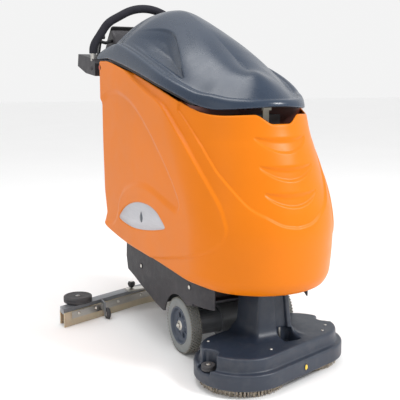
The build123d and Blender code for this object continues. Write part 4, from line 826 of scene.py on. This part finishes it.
def chassis_tray():
    """Charcoal tray under the tank with wheel arches, a rolled arch lip and front cheeks."""
    side = list(TRAY_SIDE)
    for k in range(ARCH_STEPS):
        t = math.radians(15 + k * 108 / (ARCH_STEPS - 1))
        side.append((AXLE_Y + ARCH_R * math.cos(t), WHEEL_R + ARCH_R * math.sin(t)))
    side += TRAY_FRONT
    start = len(TRAY_SIDE) - 1
    tray = Build()
    for s in (-1, 1):
        tray.prism(side, *span(s, TRAY_HALF - TRAY_WALL, TRAY_HALF), 1.2)
        lip = [(s * (TRAY_HALF - TRAY_WALL / 2), y, z) for y, z in side[start:start + ARCH_STEPS + 2]]
        tray.tube(lip, 3.2, 8)
    for (y0, z0), (y1, z1) in zip(TRAY_FLOOR[:-1], TRAY_FLOOR[1:]):
        tray.prism([(y0, z0), (y1, z1), (y1, z1 + 5), (y0, z0 + 5)], -TRAY_INNER, TRAY_INNER)
    for y0, y1, z0, z1 in TRAY_CROSS:
        tray.prism([(y0, z0), (y1, z0), (y1, z1), (y0, z1)], -TRAY_INNER, TRAY_INNER)
    for s in (-1, 1):
        cheek = []
        for y in np.linspace(-58, CHEEK_FRONT, 24):
            share = (-58 - y) / CHEEK_DEPTH
            cheek.append((s * (TRAY_HALF - TRAY_WALL / 2) * math.sqrt(1 - share * share), y))
        blade_sheet(tray, cheek, 210, 290, TRAY_WALL)
    for s in (-1, 1):
        for y, z in TRAY_SCREWS:
            tray.lathe(SCREW_SEAT, (s * TRAY_HALF, y, z), (s, 0, 0), 24)
    made = tray.piece("chassis_body", CHARCOAL, "chassis", ["chassis_tray"], "chassis_plastic")
    soften(made, 1.2)
    heads = Build()
    for s in (-1, 1):
        for y, z in TRAY_SCREWS:
            heads.lathe(SCREW_HEAD, (s * TRAY_HALF, y, z), (s, 0, 0), 20)
    heads.piece("tray_screws", ZINC, "chassis", ["chassis_screws"], "zinc")


# ------------------------------------------------------------------------------ wheels

TYRE_PROFILE = [(-22, 66.5), (-23.4, 68.5), (-24, 72), (-23, 76), (-23.6, 80), (-23.4, 86), (-22, 91),
                (-19.5, 94.4), (-16, 96.2), (0, 97.4), (16, 96.2), (19.5, 94.4), (22, 91), (23.4, 86),
                (23.6, 80), (23, 76), (24, 72), (23.4, 68.5), (22, 66.5)]
TREAD_ROWS = [-17.6, -10.6, -3.6, 3.6, 10.6, 17.6]
TREAD_COUNT = 54
DISC_PROFILE = [(20.5, 66.4), (23.4, 65), (23.8, 62.5), (22, 60.5), (15, 59), (10, 56.5), (7, 52),
                (6.2, 47), (3, 44.5), (2.0, 40), (2.4, 34), (4.5, 30.5), (10, 27.5), (14.5, 25),
                (17.5, 22), (18.6, 17.5), (16.5, 16), (-16, 16), (-20, 60), (-22, 66)]
RIB_COUNT = 8
RIB_CORNERS = [(27, 11, 2.4), (48, 7.6, 2.0), (48, 4, 2.0), (27, 2, 2.4)]
HUB_WASHER = [(14, 17.5), (19.2, 17.5), (20.2, 16.5), (20.4, 12.5), (21.6, 12.2), (21.6, 9)]
HUB_NUT = [(21.4, 9.2), (26.4, 9.2), (27.4, 8.2), (27.4, 4.6), (29.2, 4.4), (29.8, 3.4), (29.8, 0)]


def drive_wheel(side, name, body):
    """Grey tyre with a blocky tread, a stepped rim with short ribs, and a zinc hub nut."""
    low, high = box_mm(f"tyre_{name}")
    centre = tuple((low + high) / 2)
    axis = (side, 0, 0)
    tyre = Build().lathe(TYRE_PROFILE, centre, axis, 128, False)
    tyre.piece(f"tyre_body_{name}", TYRE, body, [f"tyre_{name}"], "tyre_rubber")
    tread = Build()
    pitch = 2 * math.pi / TREAD_COUNT
    for index, across in enumerate(TREAD_ROWS):
        edge = 1.0 - (abs(across) / 24) ** 2 * 0.012
        for k in range(TREAD_COUNT):
            t = (k + 0.5 * (index % 2)) * pitch
            half_t, half_a = pitch * 0.30, 2.7
            base, top = 96.0 - (abs(across) > 15) * 1.2, 99.8 * edge - (abs(across) > 15) * 0.9
            points = []
            for r, shrink in ((base, 1.0), (top, 0.82)):
                for da, dt in ((-1, -1), (1, -1), (1, 1), (-1, 1)):
                    a = t + dt * half_t * shrink + 0.06 * pitch * da * (1 if index % 2 else -1)
                    points.append((centre[0] + side * (across + da * half_a * shrink),
                                   centre[1] + r * math.cos(a), centre[2] + r * math.sin(a)))
            tread.add(points, [(0, 1, 2, 3), (4, 5, 6, 7), (0, 1, 5, 4), (1, 2, 6, 5), (2, 3, 7, 6),
                               (3, 0, 4, 7)])
    tread.piece(f"tyre_tread_{name}", TREAD, body, slot="tyre_rubber", smooth=False)
    rim = Build().lathe(DISC_PROFILE, centre, axis, 96, False)
    for k in range(RIB_COUNT):
        t = 2 * math.pi * k / RIB_COUNT
        c, s = math.cos(t), math.sin(t)
        rib = []
        for r, a, w in RIB_CORNERS:
            for q in (-w, w):
                rib.append((centre[0] + side * a, centre[1] + r * c - q * s, centre[2] + r * s + q * c))
        rim.add(rib, [(0, 1, 3, 2), (2, 3, 5, 4), (4, 5, 7, 6), (6, 7, 1, 0), (0, 2, 4, 6), (1, 3, 5, 7)])
    made = rim.piece(f"rim_body_{name}", RIM, body, [f"rim_{name}"], "rim_plastic")
    soften(made, 0.8, 40)
    hub = Build()
    hub.lathe(HUB_WASHER, centre, axis, 48)
    hub.lathe(HUB_NUT, centre, axis, 6)
    hub.piece(f"hub_nut_{name}", ZINC, body, slot="zinc")


# -------------------------------------------------------------------------------- deck

DECK_Y = -210.3
BRUSH_X, BRUSH_Y = 131.97, 40.35
SKIRT_R, STEP_R = 153.4, 133.0
SKIRT_TOP, STEP_TOP, TOWER_TOP = 76.0, 119.0, 300.0
SKIRT_LOW = 25.0
ROLLER_SPOTS = [(-260.5, -266.4), (260.5, -154.2)]
SHELL = 9.0
POST_HALF, POST_LEAN = 68.0, 14.0
DECK_SCREWS = [(-214, -178), (-74, -330), (172, -262), (214, -222)]
DECK_SCREW = [(-6, 4.6), (0.6, 4.6), (1.8, 3.8), (2.2, 2.4), (1.0, 2.0), (1.0, 0)]
LENS_PROFILE = [(-3, 8.6), (1.0, 8.6), (2.2, 7.6), (2.8, 5), (3, 0)]
LENS_RING = [(-3, 12), (0.8, 12), (1.8, 11), (1.8, 9.6), (0.6, 8.8)]
LENS_SQUASH = 0.72
WALL_ROLLER = [(-9.4, 6), (-9.4, 19), (-8.6, 21), (-7, 22), (-1.4, 22), (0, 20.8), (1.4, 22), (7, 22),
               (8.6, 21), (9.2, 19), (9.4, 11), (7.6, 9.6), (7.6, 5)]
WALL_BOLT = [(7.0, 7.4), (8.4, 7.4), (9.4, 6.4), (10.2, 3.4), (9.4, 2.6), (9.4, 0)]
TUFT_RINGS = [(129, 74), (121, 66), (108, 56), (92, 46), (74, 36), (56, 26)]


def capsule(x, y, radius):
    """Distance to the twin-circle plan of the deck."""
    ax, ay, bx, by = -BRUSH_X, DECK_Y - BRUSH_Y, BRUSH_X, DECK_Y + BRUSH_Y
    t = np.clip(((x - ax) * (bx - ax) + (y - ay) * (by - ay)) / ((bx - ax) ** 2 + (by - ay) ** 2), 0, 1)
    return np.hypot(x - ax - t * (bx - ax), y - ay - t * (by - ay)) - radius


def slab(x, low, high):
    """Distance to the space between two values."""
    return np.maximum(low - x, x - high)


def deck_field(x, y, z):
    """Skirt, step and tower of the brush deck with its channel, pockets and corner lobes."""
    skirt = both(capsule(x, y, SKIRT_R), slab(z, SKIRT_LOW - 6, SKIRT_TOP), 7)
    step = both(capsule(x, y, STEP_R + 1.5 * (SKIRT_TOP - z) / 43), slab(z, 40, STEP_TOP), 9)
    slope = POST_LEAN * (z - STEP_TOP) / (TOWER_TOP - STEP_TOP)
    tower = both(slab(x, -POST_HALF + slope, POST_HALF - slope), slab(y, -240 + slope * 0.8, -98), 8)
    tower = both(tower, slab(z, 60, TOWER_TOP + 8), 3)
    shape = union(step, tower, 40)
    shape = both(shape, slab(z, 40, TOWER_TOP + 8), 2)
    shape = union(skirt, shape, 8)
    for rx, ry in ROLLER_SPOTS:
        pocket = both(np.hypot(x - rx, y - ry) - 29, slab(z, 62, 200), 2)
        corner = both(slab((x - rx) * np.sign(rx), -12, 60), slab(y - ry, -40, 60), 6)
        shape = cut(shape, both(union(pocket, both(corner, np.hypot(x - rx, y - ry) - 36, 3), 3),
                                slab(z, 62, 200), 2), 4)
    channel = both(slab(x, 6 - slope * 0.3, 50 - slope), slab(y, -260, -227 + slope * 0.8), 4)
    shape = cut(shape, both(channel, slab(z, 96, 320), 4), 3)
    mouth = both(slab(x, 8, 62), slab(y, -292, -222), 6)
    return cut(shape, both(mouth, slab(z, 88, 140), 2), 3)


def deck_shell_field(x, y, z):
    """The deck as a hollow shell, open below."""
    whole = deck_field(x, y, z)
    whole = both(whole, SKIRT_LOW - z, 1)
    hollow = np.maximum(deck_field(x, y, z) + SHELL, z - (TOWER_TOP - SHELL))
    return np.maximum(np.maximum(whole, -hollow), z - TOWER_TOP)


def deck_cover():
    """Sculpted brush deck."""
    cell = 3.0
    points, faces = sculpt(deck_shell_field, (-292, -410, 17), (292, -20, 306), cell)
    made = piece("deck_shell", points, faces, DECK, "deck", ["deck_cover"])
    modifier(made, "SMOOTH", factor=0.5, iterations=8)


def deck_details():
    """Deck screws, and the reflector in its black ring."""
    screws = Build()
    for x, y in DECK_SCREWS:
        screws.lathe(DECK_SCREW, (x, y, STEP_TOP), (0, 0, 1), 20)
    screws.piece("deck_screws", ZINC, "deck", ["deck_fasteners"], "zinc")
    low, high = box_mm("deck_reflector")
    centre = (low + high) / 2
    reach = Vector((BRUSH_X * 2, BRUSH_Y * 2, 0)).normalized()
    out = Vector((reach.y, -reach.x, 0))
    for profile, name, coat, stands, slot in (
            (LENS_PROFILE, "reflector_lens", AMBER, ["deck_reflector"], "reflector"),
            (LENS_RING, "reflector_ring", BLACK, [], "black_plastic")):
        made = Build().lathe(profile, centre, out, 36)
        made.points = [(centre.x + (p[0] - centre.x) * LENS_SQUASH,
                        centre.y + (p[1] - centre.y) * LENS_SQUASH, p[2]) for p in made.points]
        made.piece(name, coat, "deck", stands, slot)


def wall_rollers():
    """Corner rollers of the deck with a zinc bolt."""
    for name, body, c in each_side("wall_roller"):
        made = Build().lathe(WALL_ROLLER, c, (0, 0, 1), 64)
        made.piece(f"deck_roller_{name}", ROLLER, body, [f"wall_roller_{name}"], "roller_plastic")
        bolt = Build().lathe(WALL_BOLT, c, (0, 0, 1), 24)
        bolt.piece(f"deck_roller_bolt_{name}", ZINC, body, slot="zinc")


def bristles():
    """Rings of nylon tufts under each brush block."""
    draw = random.Random(7)
    for name in ("right", "left"):
        low, high = box_mm(f"bristles_{name}")
        cx, cy = (low.x + high.x) / 2, (low.y + high.y) / 2
        tufts = Build()
        for ring, (radius, count) in enumerate(TUFT_RINGS):
            for k in range(count):
                t = 2 * math.pi * (k + 0.5 * (ring % 2)) / count
                ux, uy = math.cos(t), math.sin(t)
                for _ in range(7):
                    a = draw.uniform(0, 2 * math.pi)
                    spread = draw.uniform(0.6, 2.6)
                    ax, ay = math.cos(a), math.sin(a)
                    bx, by = cx + radius * ux + spread * ax, cy + radius * uy + spread * ay
                    lean = 1.5 + 0.9 * spread
                    tip = (bx + lean * ax * 0.8 + 1.6 * ux, by + lean * ay * 0.8 + 1.6 * uy,
                           draw.uniform(0.2, 1.6))
                    knee = ((bx + tip[0]) / 2 + 0.2 * ux, (by + tip[1]) / 2, 14.0)
                    tufts.tube([(bx, by, 29.5), knee, tip], [0.95, 0.95, 0.75], 5)
        tufts.piece(f"brush_tufts_{name}", BRISTLE, f"brush_{name}", [f"bristles_{name}"], "bristle")


# ---------------------------------------------------------------------------- squeegee

def blade_sheet(made, line, low, high, thick):
    """Upright strip of even thickness along a plan line."""
    pts = np.array(line, float)
    d = np.gradient(pts, axis=0)
    n = np.column_stack([-d[:, 1], d[:, 0]]) / np.hypot(d[:, 0], d[:, 1])[:, None]
    levels = np.linspace(low, high, 7)
    rings = []
    for side, order in ((-0.5, levels), (0.5, levels[::-1])):
        for z in order:
            p = pts + n * (side * thick)
            rings.append(np.column_stack([p, np.full(len(p), z)]))
    grid = np.array(rings).transpose(1, 0, 2)
    count = len(rings)
    made.add(grid.reshape(-1, 3), grid_faces(len(pts), count, True) + end_caps(len(pts), count))


BLADE_HALF = 486.0
BLADE_APEX_Y = 700.0
BLADE_SLOPE = 20.5
BLADE_BEND = 128.0
BEAM_HALF = 23.0
STRIP_HALF = 452.0
NUT_SPOTS = (-420, -340, -230, -110, 110, 230, 340, 420)
STRIP_NUT = [(0, 6.5), (1.4, 6.5), (1.8, 4.8), (4.6, 4.4), (5.0, 3.2), (6.4, 3), (6.6, 0)]
END_ROLLER = [(-13, 9), (-13, 50), (-12.4, 53), (-10.5, 55.4), (-7, 56), (-0.6, 56), (0, 55.4), (0.6, 56),
              (7, 56), (10.5, 55.4), (12.4, 53), (12.9, 50), (12.9, 46), (12.2, 44.6), (12.2, 16),
              (12.9, 14.6), (12.9, 12), (10, 11), (10, 8)]
END_BOLT = [(9.6, 9.4), (11.4, 9.4), (12.6, 8.2), (13.2, 5), (12.0, 4.2), (12.0, 0)]
TROLLEY_TYRE = [(-8, 5), (-8, 12), (-7, 15), (-7.6, 18), (-6.4, 21), (-4, 22), (4, 22), (6.4, 21),
                (7.6, 18), (7, 15), (8, 12), (8, 5)]
TROLLEY_HUB = [(7.4, 11.4), (8.4, 11), (8.8, 8), (8.4, 4.6)]
KNOB_RINGS = [(-2, 9), (0, 10), (3, 12.5), (6, 14), (10, 15.4), (15, 15.8), (19, 15), (21.4, 12.8),
              (22.4, 9)]
KNOB_STEPS, KNOB_FLUTES = 70, 7


def squeegee_line(offset, half=BLADE_HALF, count=73):
    """Plan line of the squeegee, moved back by offset."""
    slope = math.tan(math.radians(BLADE_SLOPE))
    out = []
    for x in np.linspace(-half, half, count):
        soft = abs(x) if abs(x) > BLADE_BEND else (x * x / BLADE_BEND + BLADE_BEND) / 2
        out.append((x, BLADE_APEX_Y - slope * soft + offset / math.cos(math.radians(BLADE_SLOPE))))
    return out


def squeegee():
    """Gum blades, steel clamp strips and their nuts."""
    blades = Build()
    for way in (1, -1):
        blade_sheet(blades, squeegee_line(way * (BEAM_HALF + 2)), 0.6, 57, 4.2)
    made = blades.piece("squeegee_gum", GUM, "squeegee", ["squeegee_blades"], "blade_rubber")
    soften(made, 0.8)
    strips = Build()
    for way in (1, -1):
        blade_sheet(strips, squeegee_line(way * (BEAM_HALF + 5.4), STRIP_HALF), 28, 56, 2.2)
    made = strips.piece("squeegee_clamp_strips", STEEL, "squeegee", ["squeegee_strips"], "steel")
    soften(made, 0.5)
    nuts = Build()
    slope = math.radians(BLADE_SLOPE)
    for x in NUT_SPOTS:
        for way in (-1, 1):
            y = BLADE_APEX_Y - math.tan(slope) * abs(x) + way * (BEAM_HALF + 7) / math.cos(slope)
            turn = slope if x < 0 else -slope
            axis = (-math.sin(turn) * way, math.cos(turn) * way, 0)
            nuts.lathe(STRIP_NUT, (x, y, 44), axis, 12)
    nuts.piece("squeegee_strip_nuts", ZINC, "squeegee", slot="zinc")


def end_rollers():
    """Wide deflector rollers with a ribbed edge and a sunk screw."""
    for name, body, c in each_side("end_roller"):
        made = Build().lathe(END_ROLLER, c, (0, 0, 1), 96)
        made.piece(f"end_roller_body_{name}", ROLLER, body, [f"end_roller_{name}"], "roller_plastic")
        bolt = Build().lathe(END_BOLT, c, (0, 0, 1), 6)
        bolt.piece(f"end_roller_bolt_{name}", ZINC, body, slot="zinc")


def trolley_wheels():
    """Small black wheels with a zinc hub beside the beam."""
    for name, body, c in each_side("trolley_wheel"):
        wheel = Build().lathe(TROLLEY_TYRE, c, (1, 0, 0), 48)
        wheel.piece(f"trolley_tyre_{name}", ROLLER, body, [f"trolley_wheel_{name}"], "roller_plastic")
        hub = Build()
        for way in (-1, 1):
            hub.lathe(TROLLEY_HUB, c, (way, 0, 0), 32)
        hub.piece(f"trolley_hub_{name}", ZINC, body, slot="zinc")


def clamp_knobs():
    """Fluted clamp knobs that hold the squeegee to its bracket."""
    for name, body, c in each_side("clamp_knob"):
        low, high = box_mm(f"clamp_knob_{name}")
        top = high.z - c.z
        knob = Build()
        points = []
        for z, r in KNOB_RINGS:
            for k in range(KNOB_STEPS):
                t = 2 * math.pi * k / KNOB_STEPS
                rr = r * (1 - 0.09 * (0.5 + 0.5 * math.cos(KNOB_FLUTES * t)) ** 2)
                points.append((c.x + rr * math.cos(t), c.y + rr * math.sin(t), c.z + top - 22.6 + z))
        count = len(KNOB_RINGS)
        knob.add(points, grid_faces(count, KNOB_STEPS, True) + end_caps(count, KNOB_STEPS))
        knob.piece(f"clamp_knob_grip_{name}", BLACK, body, [f"clamp_knob_{name}"], "black_plastic")
        stud = Build().lathe([(low.z - c.z, 4.6), (top - 24, 4.6), (top - 23.6, 8.5), (top - 22, 8.5)], c,
                             (0, 0, 1), 24)
        stud.lathe([(top - 0.6, 6.4), (top - 0.1, 5.8), (top - 0.1, 0)], c, (0, 0, 1), 24)
        stud.piece(f"clamp_stud_{name}", ZINC, body, slot="zinc")


# ----------------------------------------------------------------------------- console

CONSOLE_HALF, NECK_HALF, POD_HALF = 243.0, 190.0, 128.0
CONSOLE_BASE = [(765, 960), (882, 973), (989, 1005), (977, 1056), (800, 1034), (765, 1012)]
CONSOLE_NECK = [(696, 872), (708, 872), (850, 972), (765, 972), (765, 950), (696, 930)]
BLOCK_SCREW = [(0, 9), (1.2, 9), (2, 8), (2, 6.4), (0.6, 6), (0.6, 0)]
CONSOLE_POD = [(806, 1026), (846, 1128), (868, 1152), (884, 1160), (950, 1094), (977, 1062), (977, 1036)]


def console():
    """Console block with a screw on each side, its neck, the rounded pod and the handle's links."""
    block = Build().prism(CONSOLE_BASE, -CONSOLE_HALF, CONSOLE_HALF)
    for side in (-1, 1):
        block.lathe(BLOCK_SCREW, (side * CONSOLE_HALF, 806, 992), (side, 0, 0), 28)
    made = block.piece("console_block", CHARCOAL, "chassis", ["console_housing"], "chassis_plastic")
    soften(made, 5.0, 25, 4)
    neck = Build().prism(CONSOLE_NECK, -NECK_HALF, NECK_HALF)
    made = neck.piece("console_neck", CHARCOAL, "chassis", slot="chassis_plastic")
    soften(made, 2.0, 25, 3)
    pod = Build().prism(CONSOLE_POD, -POD_HALF, POD_HALF)
    made = pod.piece("console_pod", CHARCOAL, "chassis", slot="chassis_plastic")
    soften(made, 13.0, 25, 6)
    links = Build()
    for side in (-1, 1):
        links.tube([(side * 224, 805, 1120), (side * 196, 832, 1104), (side * 160, 858, 1100),
                    (side * (POD_HALF - 10), 872, 1112)], 7, 16)
    links.piece("handle_links", BLACK, "chassis", slot="black_plastic")


# ---------------------------------------------------------------------------- assembly

dress_nodes()
camera()
studio()
solution_tank()
lid_shell()
lid_seal()
chassis_tray()
drive_wheel(-1, "right", "drive_wheel_right")
drive_wheel(1, "left", "drive_wheel_left")
deck_cover()
deck_details()
wall_rollers()
bristles()
squeegee()
end_rollers()
trolley_wheels()
clamp_knobs()
console()
badge()
